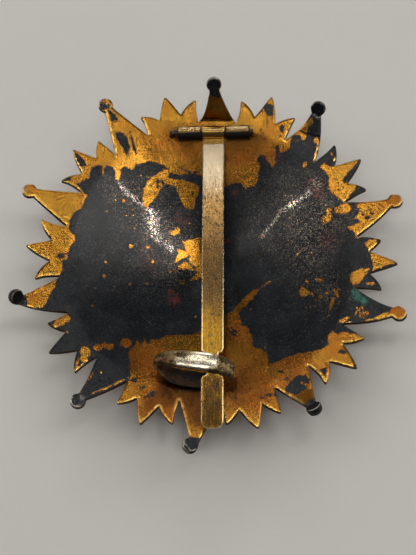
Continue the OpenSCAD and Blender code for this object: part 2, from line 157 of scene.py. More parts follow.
class Tint(Value):
    """A colour in a material's node tree."""

    def toward(self, other: Tint | Colour, share: Value | float) -> Tint:
        """Mixes in another colour.

        Args:
            other: the other colour.
            share: how much of it is mixed in, from 0 to 1.

        Returns:
            The mixed colour.
        """
        return self.tree.mix(self, other, share)


class Graph:
    """The nodes of a material or of the room's light, which are all added in one way."""

    def __init__(self, node_tree: bpy.types.NodeTree) -> None:
        """Takes a node tree over.

        Args:
            node_tree: the node tree.
        """
        self.nodes = node_tree.nodes
        self.links = node_tree.links

    def node(self, kind: str, settings: dict, inputs: dict) -> bpy.types.Node:
        """Adds a node.

        Args:
            kind: the node's type.
            settings: its settings, which are set first.
            inputs: numbers, colours, sockets or values for its inputs, by name or index.

        Returns:
            The node.
        """
        node = self.nodes.new(kind)
        for key, setting in settings.items():
            setattr(node, key, setting)
        for key, given in inputs.items():
            given = given.socket if isinstance(given, Value) else given
            if isinstance(given, bpy.types.NodeSocket):
                self.links.new(given, node.inputs[key])
            elif isinstance(given, tuple) and len(given) == 3 and node.inputs[key].type == "RGBA":
                node.inputs[key].default_value = (*given, 1.0)
            else:
                node.inputs[key].default_value = given
        return node


class Tree(Graph):
    """A material and the nodes that make it."""

    COLOUR_A = 6
    COLOUR_B = 7
    COLOUR_OUT = 2

    def __init__(self, name: str) -> None:
        """Makes an empty material with a surface shader.

        Args:
            name: the material's name.
        """
        self.material = bpy.data.materials.new(name)
        self.material.use_nodes = True
        super().__init__(self.material.node_tree)
        self.nodes.clear()
        self.shader = self.node("ShaderNodeBsdfPrincipled", {}, {})
        self.node("ShaderNodeOutputMaterial", {}, {"Surface": self.shader.outputs[0]})
        place = self.node("ShaderNodeTexCoord", {}, {})
        self.place = place.outputs["Object"]

    def mix(self, first: Tint | Colour, second: Tint | Colour, share: Value | float) -> Tint:
        """Mixes two colours.

        Args:
            first: the colour at share 0.
            second: the colour at share 1.
            share: how much of the second colour is taken.

        Returns:
            The mixed colour.
        """
        inputs = {0: share, self.COLOUR_A: first, self.COLOUR_B: second}
        node = self.node("ShaderNodeMix", {"data_type": "RGBA"}, inputs)
        return Tint(self, node.outputs[self.COLOUR_OUT])

    def stretched(self, scale: Triple, turn: float = 0.0, shift: float = 0.0) -> bpy.types.NodeSocket:
        """Object coordinates, turned and then scaled.

        Args:
            scale: a factor along each axis.
            turn: turn about the upright axis in radians.
            shift: a shift along all axes, so that two patterns differ.

        Returns:
            The socket with the new coordinates.
        """
        turned = self.node("ShaderNodeMapping", {}, {"Vector": self.place, "Rotation": (0.0, 0.0, turn)})
        inputs = {"Vector": turned.outputs[0], "Scale": scale, "Location": (shift, shift, shift)}
        return self.node("ShaderNodeMapping", {}, inputs).outputs[0]

    def noise(self, size: float, detail: float = 2.0, rough: float = 0.5,
              place: bpy.types.NodeSocket | None = None, shift: float = 0.0) -> Value:
        """Cloudy noise.

        Args:
            size: the size of its largest clouds.
            detail: how many finer layers it has.
            rough: how strong the finer layers are.
            place: the coordinates that it reads, or none for the object's own.
            shift: a shift, so that two patterns of one size differ.

        Returns:
            A value from 0 to 1, mostly near 0.5.
        """
        inputs = {"Scale": 1.0 / size, "Detail": detail, "Roughness": rough, "W": shift,
                  "Vector": place or self.place}
        node = self.node("ShaderNodeTexNoise", {"noise_dimensions": "4D"}, inputs)
        return Value(self, node.outputs[0])

    def colour_noise(self, size: float) -> Tint:
        """Cloudy noise in all colours.

        Args:
            size: the size of its largest clouds.

        Returns:
            The colour.
        """
        inputs = {"Scale": 1.0 / size, "Detail": 1.0, "Vector": self.place}
        node = self.node("ShaderNodeTexNoise", {}, inputs)
        return Tint(self, node.outputs[1])

    def stored(self, name: str) -> Value:
        """A value stored on the mesh.

        Args:
            name: the attribute's name.

        Returns:
            The attribute's value.
        """
        node = self.node("ShaderNodeAttribute", {"attribute_name": name}, {})
        return Value(self, node.outputs["Fac"])

    def coordinate(self, axis: int) -> Value:
        """One object coordinate.

        Args:
            axis: 0, 1 or 2 for x, y or z.

        Returns:
            The coordinate.
        """
        node = self.node("ShaderNodeSeparateXYZ", {}, {0: self.place})
        return Value(self, node.outputs[axis])

    def bump(self, height: Value, depth: float, strength: float,
             under: bpy.types.NodeSocket | None = None) -> bpy.types.NodeSocket:
        """Turns a height into relief.

        Args:
            height: the height, from 0 to 1.
            depth: how deep the relief is.
            strength: how much of it shows, from 0 to 1.
            under: the normal of a coarser relief that this one lies on.

        Returns:
            The socket with the new normal.
        """
        inputs = {"Height": height, "Distance": depth, "Strength": strength}
        if under is not None:
            inputs["Normal"] = under
        return self.node("ShaderNodeBump", {}, inputs).outputs[0]

    def finish(self, colour: Tint, roughness: Value, metallic: Value | float,
               normal: bpy.types.NodeSocket) -> bpy.types.Material:
        """Joins the surface's values to the shader.

        Args:
            colour: base colour.
            roughness: roughness.
            metallic: share of bare metal.
            normal: the normal with its relief.

        Returns:
            The material.
        """
        sockets = self.shader.inputs
        for key, value in (("Base Color", colour), ("Roughness", roughness), ("Metallic", metallic)):
            if isinstance(value, Value):
                self.links.new(value.socket, sockets[key])
            else:
                sockets[key].default_value = value
        self.links.new(normal, sockets["Normal"])
        return self.material


@dataclass(frozen=True)
class PhotoCamera:
    """The camera at the photograph's angle, fitted to the star's beads, flames and pin."""

    azimuth: float = math.radians(8.74)
    tilt: float = math.radians(19.34)
    roll: float = math.radians(-9.02)
    distance: float = 265.5 * MM
    target: Triple = (-0.15 * MM, -4.73 * MM, 9.0 * MM)
    focal_px: float = 1234.9
    width_px: float = 416.0
    height_px: float = 555.0
    sensor: float = 36.0
    clip_start: float = 10 * MM

    def axes(self) -> tuple[Vector, Vector, Vector]:
        """Works out the camera's directions.

        Returns:
            The directions to its right, up, and backwards.
        """
        level = Vector((math.cos(self.azimuth), math.sin(self.azimuth), 0.0))
        lean = math.sin(self.tilt)
        back = Vector((math.sin(self.azimuth) * lean, -math.cos(self.azimuth) * lean, math.cos(self.tilt)))
        right = level * math.cos(self.roll) + back.cross(level) * math.sin(self.roll)
        return right, back.cross(right), back

    def position(self) -> Vector:
        """Returns the place of the lens."""
        return Vector(self.target) + self.axes()[2] * self.distance

    def to_pixels(self, points: np.ndarray) -> np.ndarray:
        """Finds where points are in the photograph.

        Args:
            points: places, one in each row.

        Returns:
            The pixel coordinates, one pair in each row.
        """
        right, up, back = (np.array(axis) for axis in self.axes())
        away = points - np.array(self.position())
        scale = self.focal_px / (away @ -back)
        return np.stack([self.width_px / 2 + scale * (away @ right),
                         self.height_px / 2 - scale * (away @ up)], 1)

    def on_height(self, pixel: Point, height: float) -> Vector:
        """Finds the point at a height that a pixel shows.

        Args:
            pixel: the pixel's coordinates.
            height: the height over the table.

        Returns:
            The point.
        """
        right, up, back = self.axes()
        side = (pixel[0] - self.width_px / 2) / self.focal_px
        rise = (self.height_px / 2 - pixel[1]) / self.focal_px
        way = right * side + up * rise - back
        start = self.position()
        return start + way * ((height - start.z) / way.z)

    def place(self) -> None:
        """Makes the camera and puts it into the scene."""
        right, up, back = self.axes()
        data = bpy.data.cameras.new("photo_camera")
        data.sensor_width = self.sensor
        data.lens = self.focal_px / self.height_px * self.sensor
        data.clip_start = self.clip_start
        camera = bpy.data.objects.new("photo_camera", data)
        bpy.context.scene.collection.objects.link(camera)
        camera.location = self.position()
        rows = [[right[i], up[i], back[i]] for i in range(3)]
        camera.rotation_euler = Matrix(rows).to_euler()
        bpy.context.scene.camera = camera


CAMERA = PhotoCamera()


@dataclass(frozen=True)
class Lamp:
    """A soft lamp: its direction from the star, its sides, and the light it throws on the table."""

    name: str
    way: Triple
    sides: Point
    light: float
    distance: float = 0.55

    def build(self) -> None:
        """Hangs the lamp up so that it faces the star."""
        direction = Vector(self.way).normalized()
        data = bpy.data.lights.new(self.name, "AREA")
        data.shape = "RECTANGLE"
        data.size, data.size_y = self.sides
        data.energy = self.light * math.pi * self.distance ** 2 / direction.z
        data.color = LAMP_WHITE
        lamp = bpy.data.objects.new(self.name, data)
        bpy.context.scene.collection.objects.link(lamp)
        lamp.location = direction * self.distance
        lamp.rotation_euler = direction.to_track_quat("Z", "Y").to_euler()


LAMPS = [
    Lamp("right_lamp", (0.215, 0.19, 0.96), (0.034, 0.17), 0.17),
    Lamp("left_lamp", (-0.347, 0.14, 0.93), (0.04, 0.06), 0.08),
    Lamp("blade_lamp", (-0.05, 0.50, 0.86), (0.06, 0.030), 0.045),
    Lamp("middle_panel", (-0.05, 0.16, 0.98), (0.26, 0.20), 0.014),
    Lamp("flame_panel", (-0.02, 0.32, 0.945), (0.24, 0.07), 0.016),
    Lamp("patch_lamp", (0.165, 0.25, 0.955), (0.05, 0.045), 0.03),
    Lamp("sheen_panel", (0.29, 0.19, 0.94), (0.09, 0.14), 0.06),
    Lamp("ray_lamp", (0.055, 0.30, 0.954), (0.04, 0.03), 0.013),
    Lamp("flame_lamp", (-0.14, 0.285, 0.948), (0.05, 0.045), 0.06),
    Lamp("ring_lamp", (-0.362, 0.438, 0.823), (0.065, 0.04), 0.013),
    Lamp("near_panel", (0.0, -0.26, 0.965), (0.62, 0.12), 0.34, distance=0.9),
    Lamp("east_panel", (0.64, 0.25, 0.73), (0.72, 0.72), 0.345, distance=1.6),
    Lamp("west_panel", (-0.68, 0.25, 0.69), (0.72, 0.72), 0.345, distance=1.6),
    Lamp("far_panel", (0.02, 0.88, 0.48), (1.10, 0.42), 0.20, distance=2.0)]


@dataclass(frozen=True)
class Studio:
    """A pale table in a room that is dim overhead and lit from the far side."""

    floor_size: float = 1.6
    floor_colour: Colour = (0.78, 0.762, 0.725)
    cloud_shade: float = 0.96
    cloud_size: float = 60 * MM
    grain_size: float = 0.6 * MM
    grain_depth: float = 0.02 * MM
    overhead: float = 0.05
    far_side: float = 0.40
    near_side: float = 0.12
    side_fade: Point = (-0.35, 0.25)
    height_fade: Point = (0.30, 0.84)

    def table(self) -> None:
        """Adds the table top and its finish."""
        clear_selection()
        bpy.ops.mesh.primitive_plane_add(size=self.floor_size, location=(0, 0, 0))
        floor = bpy.context.object
        floor.name = "table_top"
        tree = Tree("pale_table")
        cloud = tree.noise(self.cloud_size, 3.0)
        grain = tree.noise(self.grain_size, 2.0)
        shade = tuple(part * self.cloud_shade for part in self.floor_colour)
        colour = tree.mix(self.floor_colour, shade, cloud)
        relief = tree.bump(grain, self.grain_depth, 0.3)
        floor.data.materials.append(tree.finish(colour, 0.55 + 0.2 * grain, 0.0, relief))

    def room(self) -> None:
        """Lights the room, with less light from overhead and from the near side."""
        world = bpy.data.worlds.new("room")
        world.use_nodes = True
        graph = Graph(world.node_tree)
        way = graph.node("ShaderNodeTexCoord", {}, {}).outputs["Generated"]
        parts = graph.node("ShaderNodeSeparateXYZ", {}, {0: way}).outputs
        far = Value(graph, parts["Y"]).step(*self.side_fade)
        above = Value(graph, parts["Z"]).step(*self.height_fade)
        strength = self.near_side + (self.far_side - self.near_side) * far
        strength = strength * (1.0 - (1.0 - self.overhead) * above)
        background = graph.nodes["Background"].inputs
        graph.links.new(strength.socket, background["Strength"])
        background["Color"].default_value = (*LAMP_WHITE, 1.0)
        bpy.context.scene.world = world

    def build(self) -> None:
        """Builds the table, the lamps and the room's own light."""
        self.table()
        self.room()
        for lamp in LAMPS:
            lamp.build()
        bpy.context.scene.view_settings.view_transform = "Standard"


def clear_selection() -> None:
    """Leaves edit mode and deselects everything."""
    if bpy.context.object is not None and bpy.context.object.mode != "OBJECT":
        bpy.ops.object.mode_set(mode="OBJECT")
    bpy.ops.object.select_all(action="DESELECT")


def activate(piece: bpy.types.Object) -> None:
    """Selects one piece alone.

    Args:
        piece: the piece.
    """
    clear_selection()
    piece.select_set(True)
    bpy.context.view_layer.objects.active = piece


def merged_copy(node: str, name: str) -> bpy.types.Object:
    """Copies a CAD node, and merges its loose triangles into one surface of quads.

    Args:
        node: the CAD node.
        name: the new piece's name.

    Returns:
        The new piece, selected.
    """
    piece = bpy.data.objects.new(name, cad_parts[node].data.copy())
    bpy.context.scene.collection.objects.link(piece)
    piece.data.materials.clear()
    activate(piece)
    bpy.ops.object.mode_set(mode="EDIT")
    bpy.ops.mesh.select_all(action="SELECT")
    bpy.ops.mesh.customdata_custom_splitnormals_clear()
    bpy.ops.mesh.remove_doubles(threshold=WELD)
    bpy.ops.mesh.dissolve_degenerate(threshold=SLIVER)
    bpy.ops.mesh.tris_convert_to_quads(face_threshold=QUAD_TURN, shape_threshold=QUAD_SHAPE)
    bpy.ops.object.mode_set(mode="OBJECT")
    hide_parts(node)
    return piece


def apply_modifier(piece: bpy.types.Object, kind: str, **settings: object) -> None:
    """Adds a modifier and applies it.

    Args:
        piece: the piece.
        kind: the modifier's type.
        settings: the modifier's settings.
    """
    activate(piece)
    modifier = piece.modifiers.new(kind.lower(), kind)
    for key, setting in settings.items():
        setattr(modifier, key, setting)
    bpy.ops.object.modifier_apply(modifier=modifier.name)


def refine(piece: bpy.types.Object, finest: float, rise: float = -math.inf) -> None:
    """Divides the long edges of the faces that look up.

    Args:
        piece: the piece.
        finest: the length that edges may keep.
        rise: how far up a face has to look, as the upright part of its normal, or nothing for all.
    """
    activate(piece)
    bpy.ops.object.mode_set(mode="EDIT")
    bpy.ops.mesh.select_all(action="DESELECT")
    bpy.ops.mesh.select_mode(type="EDGE")
    mesh = bmesh.from_edit_mesh(piece.data)
    for edge in mesh.edges:
        looks_up = all(face.normal.z > rise for face in edge.link_faces)
        edge.select = looks_up and edge.calc_length() > finest
    mesh.select_flush_mode()
    bmesh.update_edit_mesh(piece.data)
    bpy.ops.mesh.subdivide(number_cuts=1, smoothness=0.0, quadcorner="INNERVERT")
    bpy.ops.object.mode_set(mode="OBJECT")


def store(piece: bpy.types.Object, name: str, values: np.ndarray, domain: str = "POINT") -> None:
    """Stores a value on each point or face of a mesh.

    Args:
        piece: the piece.
        name: the attribute's name.
        values: the values in order.
        domain: POINT or FACE.
    """
    layer = piece.data.attributes.new(name, "FLOAT", domain)
    layer.data.foreach_set("value", values.astype(np.float32))


def vectors(elements: bpy.types.bpy_prop_collection, key: str) -> np.ndarray:
    """Reads one vector of each point, normal or face of a mesh.

    Args:
        elements: the mesh's points, normals or faces.
        key: the vector's name.

    Returns:
        The vectors, one in each row.
    """
    flat = np.zeros(len(elements) * 3, np.float32)
    elements.foreach_get(key, flat)
    return flat.reshape(-1, 3).astype(float)


@dataclass
class EdgeGauge:
    """Measures how far points lie from the sharp edges that a mesh has now."""

    spacing: float = 0.12 * MM
    sharp: float = SHARP
    tree: KDTree | None = None
    outward: np.ndarray | None = None

    def read(self, piece: bpy.types.Object) -> EdgeGauge:
        """Samples the sharp edges of a piece.

        Args:
            piece: the piece, before its edges are rounded.

        Returns:
            The gauge itself.
        """
        mesh = bmesh.new()
        mesh.from_mesh(piece.data)
        samples, outward = [], []
        for edge in mesh.edges:
            if len(edge.link_faces) == 2 and edge.calc_face_angle() > self.sharp:
                start, end = (corner.co for corner in edge.verts)
                count = max(1, math.ceil(edge.calc_length() / self.spacing))
                samples += [start.lerp(end, i / count) for i in range(count + 1)]
                wall = min(edge.link_faces, key=lambda face: abs(face.normal.z))
                outward += [wall.normal.y] * (count + 1)
        mesh.free()
        self.outward = np.array(outward)
        self.tree = KDTree(len(samples))
        for i, sample in enumerate(samples):
            self.tree.insert(sample, i)
        self.tree.balance()
        return self

    def distances(self, points: np.ndarray) -> np.ndarray:
        """Measures the distances in millimetres.

        Args:
            points: places, one in each row.

        Returns:
            The distance of each from the nearest sharp edge.
        """
        return np.array([self.tree.find(point)[2] for point in points]) / MM

    def nearness(self, points: np.ndarray) -> np.ndarray:
        """Tells which side of the star the nearest edge faces.

        Args:
            points: places, one in each row.

        Returns:
            1 where that edge faces the photograph's lower side, and -1 where it faces the upper.
        """
        return -self.outward[[self.tree.find(point)[1] for point in points]]


def round_edges(piece: bpy.types.Object, width: float, segments: int, sharp: float = SHARP) -> EdgeGauge:
    """Rounds the sharp edges of a piece.

    Args:
        piece: the piece.
        width: the width of the rounding.
        segments: how many faces lie across it.
        sharp: how far the faces turn at an edge that is rounded.

    Returns:
        A gauge for the edges as they were.
    """
    gauge = EdgeGauge(sharp=sharp).read(piece)
    apply_modifier(piece, "BEVEL", width=width, segments=segments, limit_method="ANGLE", angle_limit=sharp)
    return gauge


def signed_distance(points: np.ndarray, outline: list[Point]) -> np.ndarray:
    """Measures how deep points lie inside an outline.

    Args:
        points: flat places, one pair in each row.
        outline: the corners of a closed outline.

    Returns:
        The distance to the outline, positive inside it.
    """
    corners = np.array(outline, float)
    inside = np.zeros(len(points), bool)
    nearest = np.full(len(points), np.inf)
    for corner, following in zip(corners, np.roll(corners, -1, 0)):
        way = following - corner
        offset = points - corner
        share = np.clip(offset @ way / (way @ way), 0, 1)
        nearest = np.minimum(nearest, np.hypot(*(offset - share[:, None] * way).T))
        crosses = (corner[1] > points[:, 1]) != (following[1] > points[:, 1])
        if way[1] != 0:
            inside ^= crosses & (points[:, 0] < corner[0] + way[0] * offset[:, 1] / way[1])
    return np.where(inside, nearest, -nearest)


def hinge_barrel() -> Point:
    """Measures the hinge in the frame.

    Returns:
        How far out its middle lies along y, and the barrels' radius.
    """
    low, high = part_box("left_knuckle")
    return (low.y + high.y) / 2, (high.y - low.y) / 2


def strip(start: Point, end: Point, width: float) -> list[Point]:
    """Makes a thin outline round a line, in pixels.

    Args:
        start: one end.
        end: the other end.
        width: the width in the middle.

    Returns:
        The outline's corners, pointed at both ends.
    """
    first, last = Vector(start), Vector(end)
    way = last - first
    side = Vector((-way.y, way.x)).normalized() * (width / 2)
    near, far = first + way * STRIP_TAPER, first + way * (1 - STRIP_TAPER)
    return [tuple(corner) for corner in (first, near + side, far + side, last, far - side, near - side)]


def disc(centre: Point, radius: float, flat: float = 1.0) -> list[Point]:
    """Makes a round outline, in pixels.

    Args:
        centre: its centre.
        radius: half of its width.
        flat: its height as a share of its width.

    Returns:
        The outline's corners.
    """
    turns = [math.tau * i / DISC_CORNERS for i in range(DISC_CORNERS)]
    across, down = centre
    return [(across + radius * math.cos(turn), down + radius * flat * math.sin(turn)) for turn in turns]


class Cover(Enum):
    """What a patch of the star's back is covered with."""

    GILDING = 1
    TARNISH = -1


# Outlines of the gilding and the tarnish, in pixels of the photograph. Each later one lies over
# the earlier ones. Where an outline runs off the star, its corners are only roughly placed.
UPPER_GILDING = [
    (30, 311), (44.8, 305.7), (48.4, 296.8), (54.6, 286), (58.2, 277), (61.5, 271.8), (62.4, 266),
    (62, 260.2), (67, 259.3), (68, 251.3), (69.8, 246.8), (74.3, 241.5), (75.2, 235.5), (72, 233),
    (68, 229), (69.8, 220), (72.5, 215), (76, 210.8), (81.4, 208), (84, 201.6), (87, 195), (84, 192.6),
    (80, 186.4), (82, 181), (89.8, 178), (90.6, 168), (97, 165), (102, 166), (103.4, 176.6), (105, 166),
    (112, 166), (115, 171), (115.5, 179), (119, 180.5), (121, 175), (121.6, 168.6), (125, 166),
    (129, 169.4), (133, 170), (135, 165), (144, 163), (150, 161), (160, 163.6), (168, 167.8), (169, 172),
    (178, 175), (190, 173.5), (201, 174.5), (212, 183), (223.5, 187.3), (229.5, 185.2), (234.6, 182),
    (240.5, 183.4), (246.3, 188.7), (256.5, 184.6), (258.5, 175.7), (260.5, 166), (257, 159.6),
    (260.5, 154.5), (265.2, 156), (266.8, 160.8), (270, 164), (272, 170), (275, 162), (276, 150),
    (278, 144), (280, 151.6), (284.5, 152), (289.6, 148), (291, 139), (294, 120), (290, 60), (80, 60),
    (0, 160), (0, 300)]
GILT_ARCH = [
    (143.6, 207), (142.6, 198), (143.6, 190), (145.4, 184.6), (149.8, 178.4), (157.9, 173),
    (166.8, 168.5), (169.5, 171.5), (169, 178), (175.7, 179.3), (183, 180.4), (192.7, 183),
    (199.3, 186.4), (198, 192.7), (195.6, 199), (193.6, 209.6), (190, 208.8), (184.6, 207), (181.5, 203),
    (178.4, 193.5), (174.4, 186), (168.6, 183.8), (164, 184.8), (161.4, 188.2), (157.9, 194.5),
    (153.4, 200.7), (149.8, 205.2), (146.3, 209)]
LEFT_PATCH = [
    (182.9, 241.4), (191, 238.6), (206, 236.5), (206, 278), (201, 278.4), (193.6, 279.8), (189, 282),
    (193.6, 277), (196, 273.6), (195.6, 268.2), (190.5, 263), (188.7, 259.3), (190.4, 256), (185, 248.8)]
LEFT_PATCH_WING = [
    (178.4, 249.5), (184.6, 249.8), (189.4, 254.6), (186.4, 257.5), (174.8, 262.9), (176.6, 255.7)]
LEFT_PATCH_TAIL = [
    (177.5, 265.5), (185.5, 261.4), (192, 266.4), (194.2, 270.9), (187.3, 269), (178.4, 270)]
LOWER_GILDING = [
    (224, 315), (232.9, 311), (242.7, 299.5), (251.6, 291.2), (258.8, 288.4), (258, 291), (252.5, 298.6),
    (245.4, 306), (238.2, 313), (241, 321), (242, 325.6), (247.5, 328), (251.6, 335.5), (252.8, 346),
    (256, 347.9), (262, 348.8), (266.6, 353), (268.6, 363.6), (279.3, 361), (288, 356.6), (301.6, 353),
    (315, 351.3), (321, 349.5), (328, 344.5), (327, 335.6), (332.5, 330.7), (338, 334), (344, 331.6),
    (355, 334), (364.6, 337), (352, 348), (356, 362), (340, 392), (330, 400), (290, 440), (170, 470),
    (110, 425), (118, 395), (131, 377), (129.6, 370), (130.8, 363), (128.6, 356), (129, 349.5),
    (134, 347), (137, 340), (141, 346), (144, 339), (148, 345), (151, 338.6), (156.4, 340), (166, 335.6),
    (190, 335.2), (197, 332.6), (206, 330)]
GROUP_ONE_GILDING = [
    (319.6, 166.5), (324.5, 162.3), (328.4, 166), (332.5, 166.8), (344, 164), (362, 155), (356, 164),
    (347.7, 173.5), (341.6, 180.6), (344.5, 182.6), (357.8, 183), (354, 191), (348.6, 197.2),
    (344, 202.6), (340, 198.6), (331, 193), (328, 189), (328.6, 183), (328, 175.7), (323.6, 170.4)]
RAY_ONE_GILDING = [
    (290, 136), (299.5, 127.6), (312, 117.5), (314, 123), (307.6, 126), (306.8, 133), (306.2, 138.4),
    (304, 141.2), (301, 139), (299.5, 134.6)]
RAY_TWO_GILDING = [
    (357, 203.6), (384, 199), (396, 186), (410, 200), (398, 214), (388, 210), (376, 222), (359.6, 236.8),
    (358, 240), (355.4, 236), (353.6, 231), (347.6, 229.4), (347.6, 226), (353, 225), (360, 222),
    (355, 217), (360.5, 211.5), (357, 208)]
GROUP_TWO_TIP_ONE = [(364.6, 243.4), (368.6, 239.6), (377, 238.6), (377, 245.4), (371, 250), (368.6, 249)]
GROUP_TWO_TIP_TWO = [
    (368.6, 248.6), (372, 252.6), (381, 253.6), (396, 259), (395, 263), (386, 265.6), (372, 271),
    (373, 262.9), (370.4, 255.7)]
GROUP_TWO_BLOB = [
    (350.4, 272.7), (359.3, 269), (370, 267.6), (367, 273.6), (363, 279.4), (357.5, 284.3), (352, 284.5),
    (349.4, 278)]
RAY_THREE_STRIP = [(370.6, 320), (375.4, 316.4), (382.5, 313), (388.4, 311.6), (388.4, 317), (377, 320)]
BEAD_EYE = [
    (299, 292), (301.4, 285.6), (304.6, 288.6), (306.8, 290.4), (309.4, 292), (306.6, 296), (301, 296.4)]
BOTTOM_TARNISH = [
    (287.6, 385), (295.4, 377), (306, 374.6), (310.5, 381), (306, 388.4), (299, 393.6), (293, 395.4),
    (284, 391)]
GILDING_BITS = [
    disc((188, 214), 1.4), disc((182.4, 282.4), 3.0, 0.6), disc((131, 246), 2.2),
    disc((124.7, 270.4), 1.4), disc((103.8, 275.8), 1.6), disc((94.8, 288.3), 1.0),
    disc((93, 305.7), 1.6), disc((130, 284.3), 1.3), disc((170, 271), 1.8), disc((123.4, 200.7), 1.8),
    disc((133, 209.6), 1.2), disc((148, 247), 1.6), disc((153, 262), 1.6), disc((177, 231), 3.4),
    disc((173.6, 233), 2.6), disc((303.8, 289), 1.2), disc((307, 281.4), 1.7), disc((316.6, 279.4), 1.6),
    disc((320.6, 280), 1.8, 0.7), disc((311.6, 294), 1.3), disc((315.8, 300.6), 1.5),
    disc((320.8, 296.4), 1.4), disc((327, 293), 1.2), disc((341, 208.8), 1.0),
    disc((316.4, 140.6), 2.7, 1.2), disc((305, 165), 2.2, 1.6), disc((297.4, 140.6), 1.3, 0.6),
    disc((85.5, 352), 5.6), disc((84, 358), 4.2), disc((98, 347.6), 4.6, 0.7),
    disc((104, 345.4), 3.4, 0.8), disc((110.4, 346.4), 3.6, 1.0), disc((126, 343), 6.0, 0.85),
    disc((60, 322), 5.2, 0.8), disc((66, 318.4), 4.6, 0.8), disc((55.4, 325), 3.4, 0.6),
    disc((367, 284), 2.2, 0.6), disc((372.6, 283.6), 2.4, 0.5), disc((331.6, 154.3), 1.1, 1.4),
    disc((334.2, 159), 1.2, 1.8), disc((66, 255.6), 1.6, 0.6), strip((333, 289), (338.6, 297), 2.6),
    strip((338.6, 288.6), (335.4, 294), 1.8), strip((333.6, 297), (329.8, 310), 3.4),
    strip((258, 289), (273, 279.6), 1.0), strip((319, 139), (313.8, 163), 1.8),
    strip((362, 321.4), (372, 319.6), 1.8), strip((338, 322.6), (350, 317), 3.4),
    strip((345, 324), (353, 321), 2.0), strip((354, 316), (361, 306.6), 1.4),
    strip((357, 318), (364.6, 308), 1.4), strip((360.6, 319), (367.4, 310), 1.4),
    strip((364, 319), (369.6, 311.6), 1.2), strip((365, 305.4), (355, 311), 1.0),
    strip((75, 373), (79, 357.6), 2.4), strip((75, 373), (84.6, 361.6), 2.4),
    strip((96, 367.6), (81.6, 392), 1.3), strip((91, 394), (128.6, 377.6), 1.3),
    strip((287.6, 393), (305.6, 402.6), 3.6), strip((300, 381.6), (308, 386), 2.0)]
GILT_LENS = [
    (334.3, 209), (339.6, 205), (346.8, 203.2), (350.6, 206), (352, 210), (347.7, 213.4), (340.5, 214.2),
    (335.2, 213)]
GILT_EIGHT = [
    (325.4, 210.6), (328.6, 207.6), (332.4, 208.6), (330.6, 212), (332, 216), (330.6, 221), (326, 223.6),
    (321.4, 221.4), (322.4, 217), (327, 214)]
ARCH_CRACKS = [strip((158, 177.6), (158, 189), 2.2), strip((161, 179), (164, 185.6), 2.0)]
TARNISH_BITS = [
    [(166, 175), (172, 173.4), (180, 176), (190, 175), (201.6, 175), (202, 185), (192.7, 181.6),
     (183, 178.4), (173, 178)],
    strip((178.2, 167.2), (194, 174.4), 2.0), disc((197, 172.4), 3.4, 0.5),
    disc((61.4, 255.8), 4.4, 0.55), strip((56, 256.6), (67.6, 253.4), 2.0),
    [(262, 105), (267, 103), (273, 105.6), (273.4, 115), (268, 116), (264.6, 111)],
    disc((281.8, 128.6), 2.6, 1.3), strip((260.6, 128.4), (266, 140.4), 1.3),
    disc((277.6, 147), 1.6, 1.8),
    [(115, 133), (121, 132), (126, 135), (130, 147), (127.4, 155.6), (123, 148.4), (118.6, 142)],
    strip((129.6, 131.4), (136.4, 156), 1.9),
    [(98.6, 104), (103, 102.4), (109.4, 104), (109, 108.8), (101, 110)],
    strip((108, 110), (117.6, 121), 3.4), disc((113, 117.6), 3.2, 1.3),
    [(73, 149), (75.6, 152), (84, 160.4), (87, 166.6), (80.4, 166), (76.4, 160)],
    strip((61.6, 181.4), (72, 178), 2.6), disc((64, 180.6), 2.0, 0.7), strip((75.6, 183), (84, 190), 2.2),
    disc((78.4, 184.6), 2.2, 0.8), [(352, 207), (360, 208.4), (357, 214.4), (350, 216)],
    disc((367.4, 217), 2.6, 0.8), disc((371.6, 213.6), 1.3), disc((362.6, 214.6), 1.5),
    disc((380, 204.6), 1.0), disc((394.4, 261.4), 1.5, 0.8), disc((280.8, 371), 3.6, 0.36),
    disc((342.4, 351.6), 4.2, 0.5), [(319, 369.6), (327, 367.6), (325.6, 376.6)],
    strip((226, 328), (238, 337), 2.2), strip((230, 327), (238.6, 334), 1.8),
    strip((225, 331.6), (232, 337.6), 1.8), strip((143, 399), (156, 390.6), 2.0),
    disc((152, 394), 3.4, 0.6), strip((137.6, 389.6), (147, 385.6), 1.6), disc((134, 380), 3.6, 0.7),
    disc((262, 398), 1.8, 0.6), strip((235, 405), (237, 384), 1.0), strip((177, 388), (202, 391), 1.3),
    strip((246.6, 394), (251, 386.6), 1.0), disc((193, 212.6), 2.0, 0.8), disc((286.4, 379), 2.4, 0.8),
    disc((268.6, 395), 3.6, 0.5), disc((276.4, 394), 2.8, 1.2)]
CHART: list[tuple[Cover, list[list[Point]]]] = [
    (Cover.GILDING, [UPPER_GILDING, LOWER_GILDING, GROUP_ONE_GILDING, RAY_ONE_GILDING, RAY_TWO_GILDING,
                     GROUP_TWO_TIP_ONE, GROUP_TWO_TIP_TWO, GROUP_TWO_BLOB, RAY_THREE_STRIP]),
    (Cover.TARNISH, [BOTTOM_TARNISH, *TARNISH_BITS]),
    (Cover.GILDING, [GILT_ARCH, LEFT_PATCH, LEFT_PATCH_WING, LEFT_PATCH_TAIL, GILT_LENS, GILT_EIGHT,
                     BEAD_EYE, *GILDING_BITS]),
    (Cover.TARNISH, ARCH_CRACKS)]


@dataclass(frozen=True)
class Spot:
    """A soft round spot, used for stains, painted shade and painted glints: its centre, its radius in
    pixels and its strength.
    """

    x: float
    y: float
    radius: float
    strength: float = 1.0


def trail(start: Point, end: Point, radius: float, strength: float) -> list[Spot]:
    """Makes a row of soft round spots.

    Args:
        start: the first one's centre in pixels.
        end: the last one's centre.
        radius: their radius in pixels.
        strength: their strength.

    Returns:
        The spots, which overlap.
    """
    count = math.ceil(math.dist(start, end) / radius * 2)
    places = [(start[0] + (end[0] - start[0]) * i / count, start[1] + (end[1] - start[1]) * i / count)
              for i in range(count + 1)]
    return [Spot(x, y, radius, strength) for x, y in places]


